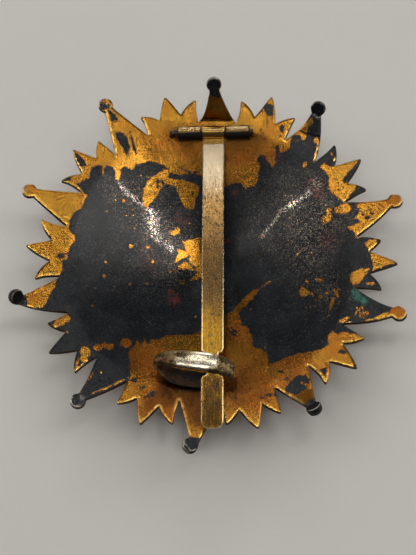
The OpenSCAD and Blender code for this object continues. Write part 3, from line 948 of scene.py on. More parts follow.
def spotted(pixels: np.ndarray, spots: list[Spot]) -> np.ndarray:
    """Adds up soft round spots.

    Args:
        pixels: the points' places in the photograph.
        spots: the spots.

    Returns:
        How strong the spots are at each point, from 0 to 1.
    """
    total = np.zeros(len(pixels))
    for spot in spots:
        gap = np.hypot(pixels[:, 0] - spot.x, pixels[:, 1] - spot.y) / spot.radius
        total = 1 - (1 - total) * (1 - spot.strength * np.exp(-(gap * SPOT_NARROW) ** SPOT_STEEP))
    return total


RED_STAINS = [
    Spot(174.8, 300.4, 5.5), Spot(170.4, 291.4, 3.0), Spot(184.6, 222.7, 6.0, 0.5),
    Spot(178.4, 217.7, 5.0, 0.45), Spot(234.6, 192.7, 3.5, 0.8), Spot(262, 236, 2.4, 1.0),
    Spot(316, 188, 9.0, 0.5), Spot(310, 180, 3.0, 0.9), Spot(318, 195, 5.0, 0.5),
    Spot(150, 262, 12.0, 0.25), Spot(154, 222, 6.0, 0.4), Spot(133, 366, 5.0, 0.5),
    Spot(228, 241, 3.0, 0.5), Spot(328, 240, 12.0, 0.25), Spot(272, 157, 8.0, 0.6),
    Spot(74.6, 151.4, 1.8, 0.9)]
GREEN_STAINS = [Spot(357, 296, 4.4), Spot(363.6, 300.6, 3.8), Spot(354.6, 291.6, 3.0)]
# Brown tarnish on the gilding, which is also painted shade: the spot beside the blade is the blade's
# painted shadow, and the brown towards the lower side of the dish is partly painted shade.
BROWN_AND_SHADE = [
    Spot(160, 410, 34, 1.0), Spot(200, 400, 40, 1.0), Spot(250, 385, 40, 0.9),
    Spot(300, 372, 26, 0.8), Spot(335, 345, 20, 0.7), Spot(150, 358, 26, 0.9),
    Spot(240, 330, 20, 0.9), Spot(172, 388, 16, 1.0), Spot(213, 100, 14, 0.4), Spot(213, 88, 10, 0.8),
    Spot(270, 150, 18, 0.6), Spot(240, 160, 26, 0.85), Spot(280, 125, 14, 0.35),
    Spot(190, 150, 24, 0.55), Spot(160, 140, 20, 0.3), Spot(126, 343, 7, 0.8),
    Spot(104, 347, 12, 0.8), Spot(30, 300, 9, 0.6), Spot(400, 312, 12, 0.6), Spot(388, 207, 14, 0.4),
    Spot(297, 385, 14, 0.6), Spot(250, 296, 12, 0.8)]

# Soot on the gilding, and painted shade: under the hinge's barrels, below the hook and near the lower end
# of the blade, where shade falls.
SOOT_AND_SHADE = [
    Spot(168, 394, 15, 0.8), Spot(182, 388, 10, 0.6), Spot(175, 135, 22, 0.22),
    Spot(245, 140, 24, 0.25), Spot(196, 404, 16, 0.7), Spot(150, 412, 16, 0.5),
    Spot(240, 398, 18, 0.45), Spot(198, 418, 12, 0.8), Spot(170, 390, 14, 0.8),
    Spot(186, 384, 12, 0.6), Spot(240, 378, 12, 0.5), Spot(262, 395, 8, 0.5), Spot(150, 400, 8, 0.5),
    Spot(192, 398, 14, 0.7), Spot(230, 392, 9, 0.6), Spot(188, 142, 8, 0.35), Spot(236, 143, 8, 0.45),
    Spot(250, 137, 6, 0.5), Spot(172, 135, 5, 0.5), Spot(250, 368, 10, 0.3), Spot(232, 340, 8, 0.4),
    Spot(292, 376, 10, 0.4), Spot(140, 388, 8, 0.4), Spot(176, 345, 10, 0.25), Spot(213, 92, 8, 0.4),
    Spot(270, 118, 10, 0.25), Spot(225, 158, 5, 0.5)]

FLECK_ZONES = [
    Spot(160, 235, 42, 0.9), Spot(178, 262, 26, 1.0), Spot(140, 196, 30, 1.0),
    Spot(118, 190, 20, 0.7), Spot(300, 205, 44, 1.0), Spot(305, 245, 36, 0.9),
    Spot(262, 232, 26, 0.5), Spot(325, 290, 26, 0.8), Spot(340, 215, 26, 0.8),
    Spot(110, 250, 40, 0.35), Spot(250, 200, 26, 0.4), Spot(150, 300, 34, 0.3)]

# Painted glints: bright bare metal painted along the two highlight arms of the dish, a painted highlight
# that stands partly for the lamps' reflections there.
PAINTED_GLINTS = [
    *trail((117, 178), (124, 190), 2.6, 0.35), *trail((124, 190), (152, 211), 3.0, 0.45),
    *trail((151, 212), (154, 228), 6.5, 0.35), *trail((152, 232), (164, 242), 5.0, 0.25),
    *trail((166, 244), (174, 251), 3.4, 0.4), *trail((306, 195), (282, 211), 2.8, 0.5),
    *trail((281, 212), (261, 238), 2.2, 0.35), Spot(316, 184, 8, 0.7), Spot(309, 193, 4, 0.8),
    Spot(308, 244, 24, 0.25), Spot(155, 221, 12, 0.40), Spot(150, 213, 9, 0.30),
    Spot(292, 204, 12, 0.25), Spot(322, 212, 16, 0.22)]

# Each layer of spots on the plate: rust, verdigris, brown tarnish with painted shade, soot with painted
# shade, flecks and painted glints.
SPOT_LAYERS = {"red": RED_STAINS, "green": GREEN_STAINS, "brown": BROWN_AND_SHADE, "soot_and_shade": SOOT_AND_SHADE,
          "flecks": FLECK_ZONES, "painted_glint": PAINTED_GLINTS}


@dataclass(frozen=True)
class Bead:
    """How one bead of the star is turned and worn.

    Pitch and kink are in degrees. Face and dome are the gilding's depth on the flat back and on
    the dome, positive for gilt and negative for tarnish. The rest are shares from 0 to 1: bare
    silver on the face, on the rim round it and on the dome, and brown. A charted bead also has
    the tarnish that the chart gives it.
    """

    pitch: float
    kink: float
    face: float
    dome: float
    face_silver: float
    rim_silver: float
    dome_silver: float
    brown: float
    charted: bool = False


# Clockwise from the top
BEADS = [
    Bead(60, 0, -0.8, -3, 0.10, 0.30, 0.60, 0.9), Bead(52, 0, -2, -6, 0.12, 0.60, 0.50, 0.8),
    Bead(7, 0, 5, -6, 0.15, 0.90, 0.60, 0.7), Bead(7, 0, 3, -6, 0.05, 0.90, 0.35, 1.0),
    Bead(55, 0, -1.6, -6, 0.10, 0.95, 0.15, 0.9), Bead(20, -25, -2, -6, 0.05, 0.95, 0.30, 0.8),
    Bead(8, 0, 2, -6, 0.38, 0.90, 0.45, 1.0, True), Bead(60, -38, -2, -5, 0.05, 0.80, 0.05, 1.0),
    Bead(4, 0, 4, 3, 0.30, 0.80, 0.40, 0.5), Bead(8, 0, 6, 6, 0.38, 0.60, 0.30, 0.2, True)]


@dataclass
class StarPlate:
    """The dished gilt plate with its rays, flames and beads.

    The first ray's direction and the sweep of a bead are in degrees. Each value that ends in turn
    is the upright part of a normal, or its part along a bead's face.
    """

    rim_radius: float = 31 * MM
    dish_rise: float = 6 * MM
    dish_round: float = 8 * MM
    centre_height: float = 3 * MM
    first_ray: float = 86.8
    rays: int = 10
    base_radius: float = 32 * MM
    bead_size: float = 3.6 * MM
    bead_sweep: float = 5.5
    face_turn: float = 0.93
    dome_turn: float = 0.60
    lip_mm: float = 0.42
    lip_fade_mm: float = 0.12
    flame_slope: float = math.radians(7)
    bend_round: float = 0.05 * MM
    back_reach: float = 0.35 * MM
    edge_keep_mm: float = 0.26
    edge_fade_mm: float = 2.0
    ripple: float = 0.012 * MM
    wave_lengths: tuple[float, ...] = (15 * MM, 11 * MM, 8 * MM, 6.5 * MM, 5 * MM)
    seed: int = 5
    edge_round: float = 0.13 * MM
    finest: float = 0.44 * MM
    refined_turn: float = 0.5
    passes: int = 3
    chart_reach_px: float = 12.0
    wall_turn: float = 0.2
    flat_turn: float = 0.75
    front_turn: float = -0.3
    front_height: float = 12 * MM
    piece: bpy.types.Object | None = field(default=None, repr=False)
    gauge: EdgeGauge | None = field(default=None, repr=False)

    def height(self, radius: np.ndarray) -> np.ndarray:
        """Gives the height of the back, with a soft bend at the rim of the dish.

        Args:
            radius: distances from the centre.

        Returns:
            The heights.
        """
        scale = self.dish_rise / (math.hypot(self.rim_radius, self.dish_round) - self.dish_round)
        dish = self.centre_height + scale * (np.hypot(radius, self.dish_round) - self.dish_round)
        rim = self.centre_height + self.dish_rise + (radius - self.rim_radius) * math.tan(self.flame_slope)
        return (dish + rim) / 2 - np.sqrt(((dish - rim) / 2) ** 2 + self.bend_round ** 2)

    def lay_back(self, ripple: float) -> None:
        """Lays the points of the back on its true curve.

        Args:
            ripple: the height of the shallow waves left by the hammer.
        """
        points = vectors(self.piece.data.vertices, "co")
        true = self.height(np.hypot(points[:, 0], points[:, 1]))
        inner = self.gauge.distances(points) - self.edge_keep_mm
        on_back = (np.abs(points[:, 2] - true) < self.back_reach) & (inner > 0)
        waves = np.zeros(len(points))
        rng = np.random.default_rng(self.seed)
        for length in self.wave_lengths:
            turn, start = rng.uniform(0, math.tau, 2)
            along = points[:, 0] * math.cos(turn) + points[:, 1] * math.sin(turn)
            waves += np.sin(along / length * math.tau + start) * length / self.wave_lengths[0]
        fade = np.clip(inner / self.edge_fade_mm, 0, 1)
        points[on_back, 2] = (true + ripple * waves * fade)[on_back]
        self.piece.data.vertices.foreach_set("co", points.astype(np.float32).ravel())
        self.piece.data.update()

    def cover(self, pixels: np.ndarray) -> np.ndarray:
        """Reads the chart of gilding and tarnish.

        Args:
            pixels: the points' places in the photograph.

        Returns:
            How deep each point lies in gilding, or below 0 in tarnish, in pixels.
        """
        depth = np.full(len(pixels), -self.chart_reach_px)
        for kind, outlines in CHART:
            for outline in outlines:
                inside = signed_distance(pixels, outline)
                if kind is Cover.GILDING:
                    depth = np.maximum(depth, inside)
                else:
                    depth = np.minimum(depth, -inside)
        return np.clip(depth, -self.chart_reach_px, self.chart_reach_px)

    def dress_beads(self, points: np.ndarray, normals: np.ndarray, layers: dict[str, np.ndarray]) -> None:
        """Gives each bead its own wear.

        Args:
            points: the mesh's points.
            normals: the directions that the points look in.
            layers: the stored values, which are changed on the beads.
        """
        radius = np.hypot(points[:, 0], points[:, 1])
        turn = np.degrees(np.arctan2(points[:, 1], points[:, 0]))
        for k, bead in enumerate(BEADS):
            angle = self.first_ray - k * 360 / self.rays
            ray = np.array([math.cos(math.radians(angle)), math.sin(math.radians(angle))])
            near = np.abs((turn - angle + 180) % 360 - 180) < self.bead_sweep
            blob = near & (radius > radius[near].max() - self.bead_size)
            centre = (points[blob].min(0) + points[blob].max(0)) / 2
            head = math.atan2(*(centre[:2] - self.base_radius * ray)[::-1]) + math.radians(bead.kink)
            ahead = np.array([math.cos(head), math.sin(head)])
            pitch = math.radians(bead.pitch)
            turned = normals[blob] @ np.array([*(-ahead * math.sin(pitch)), math.cos(pitch)])
            face = turned > self.face_turn
            worn = np.where(face, bead.face, bead.dome)
            layers["gilding"][blob] = np.minimum(worn, layers["gilding"][blob]) if bead.charted else worn
            outer = np.clip((points[blob] - centre)[:, :2] @ ahead / (self.bead_size / 4) + 0.5, 0, 1)
            lip = np.clip((self.lip_mm - layers["edge"][blob]) / self.lip_fade_mm, 0, 1)
            rim = np.where(face, lip, turned > self.dome_turn) * outer
            silver = np.where(face, bead.face_silver, bead.dome_silver)
            layers["silver"][blob] = np.maximum(silver, bead.rim_silver * rim)
            layers["brown"][blob] = np.maximum(layers["brown"][blob], bead.brown)

    def build(self) -> bpy.types.Object:
        """Shapes the plate and stores its wear and stains, with its painted shade and painted glints.

        Returns:
            The piece.
        """
        self.piece = merged_copy("star_plate", "gilt_star_plate")
        self.gauge = round_edges(self.piece, self.edge_round, 1)
        apply_modifier(self.piece, "SUBSURF", levels=1, render_levels=1)
        for _ in range(self.passes):
            refine(self.piece, self.finest, self.refined_turn)
            self.lay_back(0.0)
        self.lay_back(self.ripple)
        activate(self.piece)
        bpy.ops.object.shade_smooth()
        points = vectors(self.piece.data.vertices, "co")
        pixels = CAMERA.to_pixels(points)
        layers = {"gilding": self.cover(pixels), "silver": np.zeros(len(points)),
                  "edge": self.gauge.distances(points), "nearness": self.gauge.nearness(points)}
        layers |= {name: spotted(pixels, spots) for name, spots in SPOT_LAYERS.items()}
        self.dress_beads(points, vectors(self.piece.data.vertex_normals, "vector"), layers)
        for name, values in layers.items():
            store(self.piece, name, values)
        normals = vectors(self.piece.data.polygons, "normal")
        centres = vectors(self.piece.data.polygons, "center")
        flatness = np.clip((normals[:, 2] - self.wall_turn) / self.flat_turn, 0, 1)
        front = (normals[:, 2] < self.front_turn) & (centres[:, 2] < self.front_height)
        store(self.piece, "facing", np.where(front, -1.0, flatness), "FACE")
        self.piece.data.materials.append(StarFinish().material())
        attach(self.piece, "star")
        return self.piece


@dataclass(frozen=True)
class Clouds:
    """The noises that a worn surface is mixed from, from coarse to fine."""

    broad: Value
    mottle: Value
    fine: Value
    grit: Value

    @classmethod
    def drift(cls, tree: Tree) -> Clouds:
        """Makes the noises.

        Args:
            tree: the material that they are for.

        Returns:
            The noises.
        """
        return cls(broad=tree.noise(5.0 * MM, 3.0),
                   mottle=tree.noise(0.9 * MM, 4.0, 0.6, shift=3.0),
                   fine=tree.noise(0.48 * MM, 3.0, 0.65, shift=7.0),
                   grit=tree.noise(0.25 * MM, 2.0, 0.6, shift=11.0))


@dataclass(frozen=True)
class StarFinish:
    """Worn fire gilding over a blackened base metal, with painted shade, painted glints and painted
    highlights.

    Each direction of scratches has its turn in radians and the shift of its pattern. Each kind of
    ring has the mean distance between its places and the share of them that stays empty.
    """

    bright_gold: Colour = (0.84, 0.48, 0.072)
    amber_gold: Colour = (0.40, 0.185, 0.022)
    brown_gold: Colour = (0.35, 0.106, 0.017)
    # Dark brown of dirt, and of the painted shade at the lower edges and under the hinge.
    dirt_and_shade: Colour = (0.040, 0.018, 0.008)
    # Pale gold of rubbed edges, also a painted highlight line along the edges that face the lower side.
    edge_wear_and_highlight: Colour = (0.92, 0.64, 0.24)
    tarnish: Colour = (0.0040, 0.0055, 0.0075)
    tarnish_pale: Colour = (0.012, 0.0160, 0.0205)
    fleck: Colour = (0.50, 0.36, 0.19)
    rust: Colour = (0.20, 0.030, 0.020)
    verdigris: Colour = (0.060, 0.21, 0.155)
    silver: Colour = (0.58, 0.53, 0.45)
    # Bright bare metal of the painted glints, a painted highlight along the dish's highlight arms.
    painted_glint: Colour = (0.98, 0.86, 0.70)
    specular: float = 0.27
    pit_size: float = 0.42 * MM
    scratch_size: float = 0.20 * MM
    scratch_stretch: Triple = (1.0, 0.035, 1.0)
    scratch_turns: tuple[Point, ...] = ((0.4, 0.3), (1.3, 0.7), (2.3, 0.1))
    ring_kinds: tuple[Point, ...] = ((1.5 * MM, 0.86), (0.8 * MM, 0.92))
    ring_break: float = 0.30 * MM
    film_sizes: Point = (0.45 * MM, 0.60 * MM)
    film_gain: Triple = (3.4, 3.0, 3.4)
    film_shift: Triple = (-1.10, -1.05, -1.25)
    dent_size: float = 4.5 * MM
    dent_depth: float = 0.30 * MM
    grain_depth: float = 0.05 * MM

    def gold(self, tree: Tree, clouds: Clouds, ragged: Value) -> Tint:
        """Mixes the gilding's colour, with painted shade and painted highlights along the edges that face
        the lower side.

        Args:
            tree: the material.
            clouds: its noises.
            ragged: depth inside the gilding, in pixels.

        Returns:
            The colour.
        """
        brown = tree.stored("brown")
        edge = tree.stored("edge")
        shade = clouds.mottle * 0.35 + clouds.fine * 0.30 + clouds.grit * 0.35
        near = tree.stored("nearness")
        colour = tree.mix(self.amber_gold, self.bright_gold, shade.step(0.44, 0.62))
        # Brown tarnish, which in places is painted shade.
        worn = brown * 0.85 + (clouds.broad - 0.42) * 1.4
        worn = worn + (clouds.mottle - 0.5) * 1.2 + (clouds.fine - 0.5) * 0.5
        colour = colour.toward(self.brown_gold, worn.most(0.0).least(0.95))
        rim = edge.step(0.80, 0.30) * (clouds.mottle + 0.1) * near.step(0.4, -0.3)
        colour = colour.toward(self.brown_gold, ragged.step(1.2, 0.2).most(rim) * 0.6)
        pits = (clouds.fine * 0.35 + clouds.grit * 0.65 + (clouds.mottle - 0.5) * 0.25).step(0.505, 0.58)
        holes = tree.noise(self.pit_size, 1.0, 0.5, shift=31.0).step(0.635, 0.69)
        grime = pits.most(holes).most(self.scratches(tree) * 0.5)
        colour = colour.toward(self.dirt_and_shade, grime.least(1.0) * (0.8 - 0.35 * brown))
        # Soot, and painted shade under the hinge, below the hook and near the lower end of the blade.
        colour = colour.toward(self.dirt_and_shade, (tree.stored("soot_and_shade") * (0.55 + 0.7 * clouds.mottle)).least(0.9))
        colour = colour.toward(self.rust, tree.stored("red") * 0.5)
        # Painted highlight: brighter gold along the edges that face the lower side.
        shine = edge.step(0.90, 0.50) * near.step(0.0, 0.7) * clouds.mottle.step(0.38, 0.58)
        colour = colour.toward(self.bright_gold, shine * 0.9)
        # Wear and painted highlight: a pale line just inside the edges that face the lower side.
        line = edge.step(0.52, 0.40) * near.step(-0.1, 0.5) * (1.0 - brown * 0.5)
        line = line * (clouds.fine * 0.5 + clouds.mottle * 0.5).step(0.38, 0.55)
        return colour.toward(self.edge_wear_and_highlight, line * 0.8)

    def tarnished(self, tree: Tree, clouds: Clouds) -> tuple[Tint, Value]:
        """Mixes the tarnish's colour, with painted glints of bright bare metal along the dish's highlight
        arms.

        Args:
            tree: the material.
            clouds: its noises.

        Returns:
            The colour, and how much bare metal shows in it.
        """
        zone = tree.stored("flecks")
        speck = clouds.grit * 0.75 + clouds.fine * 0.25 + zone * 0.06
        speck = speck + (clouds.broad - 0.5) * 0.14 + (clouds.mottle - 0.5) * 0.10
        speck = speck.step(0.58, 0.68) * (0.25 + zone * 0.75)
        wide, small = (self.rings(tree, *kind, zone) for kind in self.ring_kinds)
        ring = wide.most(small)
        # Painted glints: bright specks of bare metal along the dish's highlight arms.
        spark = (clouds.fine * 0.35 + clouds.grit * 0.65 + tree.stored("painted_glint") * 0.07).step(0.555, 0.62)
        painted_glint = spark * tree.stored("painted_glint")
        bare = speck.most(self.scratches(tree) * 0.3).most(ring).most(painted_glint)
        tint = tree.mix(self.fleck, self.rainbow(tree, self.film_sizes[0]), 0.22 * zone)
        pale = (clouds.broad * 0.5 + clouds.grit * 0.5).step(0.42, 0.62)
        colour = tree.mix(self.tarnish, self.tarnish_pale, pale)
        colour = colour.toward(tint, bare * 0.55)
        colour = colour.toward(tree.mix(self.painted_glint, self.rainbow(tree, self.film_sizes[1]), 0.32), painted_glint)
        colour = colour.toward(self.bright_gold, ring * 0.8)
        rust = tree.stored("red") * clouds.fine.step(0.35, 0.6)
        return colour.toward(self.rust, rust * 0.7), bare

    def rainbow(self, tree: Tree, size: float) -> Tint:
        """Scatters strong colours, like those of a thin film.

        Args:
            tree: the material.
            size: the size of its clouds.

        Returns:
            The colour.
        """
        inputs = {0: tree.colour_noise(size), 1: self.film_gain, 2: self.film_shift}
        node = tree.node("ShaderNodeVectorMath", {"operation": "MULTIPLY_ADD"}, inputs)
        return Tint(tree, node.outputs[0])

    def rings(self, tree: Tree, size: float, rare: float, zone: Value) -> Value:
        """Scatters small broken rings of gilding over the tarnish.

        Args:
            tree: the material.
            size: the mean distance between the places where a ring may lie.
            rare: the share of places that stay empty.
            zone: how strongly this part of the star is flecked.

        Returns:
            1 on a ring and 0 elsewhere.
        """
        inputs = {"Scale": 1.0 / size, "Vector": tree.place}
        node = tree.node("ShaderNodeTexVoronoi", {}, inputs)
        away = Value(tree, node.outputs["Distance"])
        split = tree.node("ShaderNodeSeparateXYZ", {}, {0: node.outputs["Color"]})
        chance, width = Value(tree, split.outputs[0]), Value(tree, split.outputs[1])
        ring = (away - width * 0.16).maths("ABSOLUTE").step(0.055, 0.02)
        broken = tree.noise(self.ring_break, 1.0, shift=17.0).step(0.42, 0.5)
        return ring * broken * (chance + zone * 0.12).step(rare + 0.06, rare + 0.07)

    def scratches(self, tree: Tree) -> Value:
        """Draws fine straight scratches in three directions.

        Args:
            tree: the material.

        Returns:
            1 in a scratch and 0 elsewhere.
        """
        marks = []
        for turn, shift in self.scratch_turns:
            drawn = tree.stretched(self.scratch_stretch, turn, shift)
            marks.append(tree.noise(self.scratch_size, 1.0, 0.5, drawn, shift).step(0.70, 0.76))
        return marks[0].most(marks[1]).most(marks[2])

    def material(self) -> bpy.types.Material:
        """Builds the finish.

        Returns:
            The material.
        """
        tree = Tree("fire_gilding_with_painted_light")
        tree.shader.inputs["Specular IOR Level"].default_value = self.specular
        facing, edge, depth = (tree.stored(name) for name in ("facing", "edge", "gilding"))
        silver, dull = tree.stored("silver"), tree.stored("brown")
        clouds = Clouds.drift(tree)
        ragged = depth + (clouds.mottle - 0.5) * 4.0 + (clouds.fine - 0.5) * 5.0
        gilt = ragged.step(-0.3, 0.3)
        walls = facing.step(0.36, 0.15)
        front = facing.step(-0.4, -0.9)
        back = 1.0 - walls
        gilt = (gilt * back).most(front * (0.9 * clouds.mottle + 0.6 * clouds.broad).step(0.45, 0.75))
        edge_wear = edge.step(0.24, 0.06) * (clouds.fine + 0.4 * clouds.broad).step(0.45, 0.8)
        gilt = gilt.most(edge_wear * back * 0.8 * depth.step(-6.0, 1.0))

        dark, bare = self.tarnished(tree, clouds)
        colour = dark.toward(self.gold(tree, clouds, ragged), gilt)
        patchy = silver + (clouds.fine - 0.5) * 0.9 + (clouds.mottle - 0.5) * 0.8
        silver = patchy.step(0.40, 0.75) * silver.step(0.0, 0.05)
        colour = colour.toward(self.silver, silver)
        # Painted shade: dark on the walls and edges that face the lower side.
        lip = edge.step(0.36, 0.26) * tree.stored("nearness").step(0.2, 0.6)
        colour = colour.toward(self.dirt_and_shade, lip * 0.85)
        patina = tree.stored("green") * (clouds.fine * 0.7 + clouds.mottle * 0.3).step(0.38, 0.52)
        colour = colour.toward(self.verdigris, patina)

        rough = 0.17 + 0.10 * clouds.fine + 0.12 * (clouds.mottle - 0.5) - 0.05 * gilt
        rough = rough - 0.04 * edge.step(0.25, 0.05) * gilt - 0.06 * tree.stored("painted_glint")
        rough = (rough + 0.12 * silver + 0.13 * dull * gilt).most(patina * 0.85).most(walls * 0.9)
        metallic = (gilt + bare * 0.9 + silver).least(1.0) * (1.0 - patina)
        dents = tree.bump(tree.noise(self.dent_size, 2.0, shift=21.0), self.dent_depth, 0.35)
        relief = tree.bump(gilt * 0.4 + clouds.mottle * 0.4, self.grain_depth, 0.3, dents)
        grain = (clouds.fine * 0.35 + clouds.grit) * (1.0 - 0.6 * tree.stored("painted_glint") - 0.6 * dull * gilt)
        relief = tree.bump(grain, self.grain_depth, 0.5, relief)
        return tree.finish(colour, rough, metallic, relief)


# Pits on the blade, and a row of painted shade across its curl, where the curl's lower side meets the
# blade.
BLADE_PITS_AND_SHADE = [
    Spot(212.4, 275, 1.6), Spot(216.6, 278.6, 2.0), Spot(213, 280, 1.2), Spot(212.4, 315, 1.8),
    Spot(218.4, 314.6, 1.8), Spot(209.8, 335, 1.2), Spot(211.4, 343.7, 1.4), Spot(214, 347.7, 1.4),
    Spot(216, 224, 1.6, 0.6), Spot(216.4, 234, 1.8, 0.6), Spot(216, 246, 1.6, 0.6),
    Spot(215.6, 258, 1.8, 0.6), Spot(213, 402, 5.0, 0.5), Spot(216, 388, 4.0, 0.5),
    Spot(209, 380, 3.0, 0.5), *trail((203, 134.8), (222, 134.6), 1.3, 0.6)]


@dataclass
class PinBlade:
    """The flat springy pin blade with its rolled knuckle."""

    edge_round: float = 0.22 * MM
    finest: float = 0.3 * MM
    refined_turn: float = 0.3
    passes: int = 8
    middle_px: float = 212.5
    curl_px: float = 141.0
    # Where the painted highlight at the blade's upper end fades out.
    highlight_px: float = 152.0
    golden_px: float = 318.0
    waist_px: float = 352.0
    height: float = 12.0 * MM

    def build(self) -> bpy.types.Object:
        """Rounds the blade's edges and dresses it.

        Returns:
            The piece.
        """
        piece = merged_copy("pin_blade", "silver_pin_blade")
        gauge = round_edges(piece, self.edge_round, 3)
        for _ in range(self.passes):
            refine(piece, self.finest, self.refined_turn)
        activate(piece)
        bpy.ops.object.shade_smooth_by_angle(angle=SMOOTH)
        levels = [CAMERA.on_height((self.middle_px, level), self.height).y
                  for level in (self.highlight_px, self.golden_px, self.waist_px, self.curl_px)]
        points = vectors(piece.data.vertices, "co")
        store(piece, "edge", gauge.distances(points))
        store(piece, "marks", spotted(CAMERA.to_pixels(points), BLADE_PITS_AND_SHADE))
        piece.data.materials.append(BladeFinish(*levels, *hinge_barrel()).material())
        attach(piece, "pin")
        return piece


@dataclass(frozen=True)
class BladeFinish:
    """Rubbed silver gilt: pale above, golden below, with dark pits drawn out along the blade, a painted
    highlight in cream near its upper end and along the top of its curl, and a row of painted shade across
    the curl.
    """

    highlight_y: float
    golden_y: float
    waist_y: float
    curl_y: float
    hinge_y: float
    hinge_radius: float
    fade: float = 3.0 * MM
    drawn_out: Triple = (1.0, 0.12, 1.0)
    highlight_cream: Colour = (0.95, 0.78, 0.53)
    pale: Colour = (0.24, 0.145, 0.055)
    golden: Colour = (0.45, 0.245, 0.030)
    brown: Colour = (0.11, 0.050, 0.016)
    pit: Colour = (0.018, 0.012, 0.008)
    rubbed: Colour = (0.84, 0.72, 0.50)
    streak_size: float = 0.28 * MM
    speck_size: float = 0.30 * MM
    cloud_size: float = 3.0 * MM
    grain_depth: float = 0.012 * MM

    def material(self) -> bpy.types.Material:
        """Builds the finish.

        Returns:
            The material.
        """
        tree = Tree("silver_gilt_with_painted_light")
        along = tree.coordinate(1)
        drawn = tree.stretched(self.drawn_out)
        streak = tree.noise(self.streak_size, 3.0, 0.6, drawn)
        speck = tree.noise(self.speck_size, 3.0, 0.65, shift=5.0)
        broad = tree.noise(self.cloud_size, 2.0, shift=9.0)
        span = self.fade
        low = along.step(self.golden_y + 2 * span, self.golden_y - span)
        # Painted highlight in cream near the blade's upper end.
        top = along.step(self.highlight_y - 4.0 * span, self.highlight_y - 0.6 * span)
        curl = along.step(self.curl_y, self.curl_y + 0.1 * span)
        far = (along - self.hinge_y) * (1.0 / self.hinge_radius) + (speck - 0.5) * 0.4
        tip = along.step(self.waist_y, self.waist_y - span)
        marks = tree.stored("marks")
        colour = tree.mix(self.pale, self.golden, (low + (broad - 0.5) * 0.6).most(0.0).least(1.0))
        colour = colour.toward(self.highlight_cream, top * (0.55 + 0.6 * streak).least(1.0))
        colour = colour.toward(self.golden, curl * 0.9)
        # Painted highlight along the top of the curl.
        colour = colour.toward(self.highlight_cream, curl * far.step(-0.30, -0.10) * far.step(0.30, 0.15) * 0.25)
        colour = colour.toward(self.brown, curl * far.step(0.30, 0.55) * 0.7)
        inner = tree.stored("edge").step(0.35, 0.9) * tip
        dark = (0.50 * streak + 0.50 * speck + 0.08 * inner).step(0.42, 0.62)
        colour = colour.toward(self.brown, dark * (0.80 - 0.50 * top - 0.30 * low + 0.50 * tip).least(1.0))
        pits = streak * 0.35 + speck * 0.65 + 0.15 * (broad - 0.5) - 0.06 * top + 0.03 * inner
        # The marks are pits, and across the curl a row of painted shade.
        pits = pits.step(0.56, 0.62).most(marks * (speck + 0.35).least(1.0))
        colour = colour.toward(self.pit, pits * 0.9)
        rim = tree.stored("edge").step(0.24, 0.12) * (1.0 - curl)
        colour = colour.toward(self.rubbed, rim * (1.0 - 0.5 * tip) * (0.25 + streak).least(0.9))
        rough = 0.20 + 0.25 * pits + 0.14 * (speck - 0.5) + 0.05 * top
        relief = tree.bump(streak * 0.5 + speck * 0.3 - 0.4 * pits, self.grain_depth, 0.3)
        return tree.finish(colour, rough, 1.0 - 0.5 * pits, relief)


# Rubbed silver on the top of the hook's band, with a painted highlight on its brightest patch.
HOOK_RUB_AND_HIGHLIGHT = [
    Spot(204, 361, 12), Spot(192, 361, 9, 0.7), Spot(180, 362, 7, 0.6), Spot(216, 362, 6, 0.3),
    Spot(168, 365, 7, 0.1)]
HOOK_RED = [Spot(164, 364, 8, 0.9), Spot(157, 366, 6, 0.6)]


@dataclass
class CatchHook:
    """The broad silver hook that the blade is pushed under."""

    edge_round: float = 0.12 * MM
    sharp: float = math.radians(50)
    arm_top: float = 10.4 * MM
    band_rise: float = 1.2 * MM
    up_turn: float = 0.15
    up_fade: float = 0.4

    def build(self) -> bpy.types.Object:
        """Smooths the hook, dents it and dresses it.

        Returns:
            The piece.
        """
        piece = merged_copy("catch_hook", "silver_catch_hook")
        gauge = round_edges(piece, self.edge_round, 1, self.sharp)
        apply_modifier(piece, "SUBSURF", levels=2, render_levels=2)
        activate(piece)
        bpy.ops.object.shade_smooth()
        points = vectors(piece.data.vertices, "co")
        pixels = CAMERA.to_pixels(points)
        store(piece, "edge", gauge.distances(points))
        rise = vectors(piece.data.vertex_normals, "vector")[:, 2]
        looks_up = np.clip((rise - self.up_turn) / self.up_fade, 0, 1)
        high = np.clip((points[:, 2] - self.arm_top) / self.band_rise, 0, 1)
        store(piece, "outside", looks_up * high)
        # The rubbed patch, which also carries the painted highlight.
        store(piece, "rubbed", spotted(pixels, HOOK_RUB_AND_HIGHLIGHT) * looks_up * high)
        store(piece, "red", spotted(pixels, HOOK_RED))
        piece.data.materials.append(HookFinish().material())
        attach(piece, "star")
        return piece


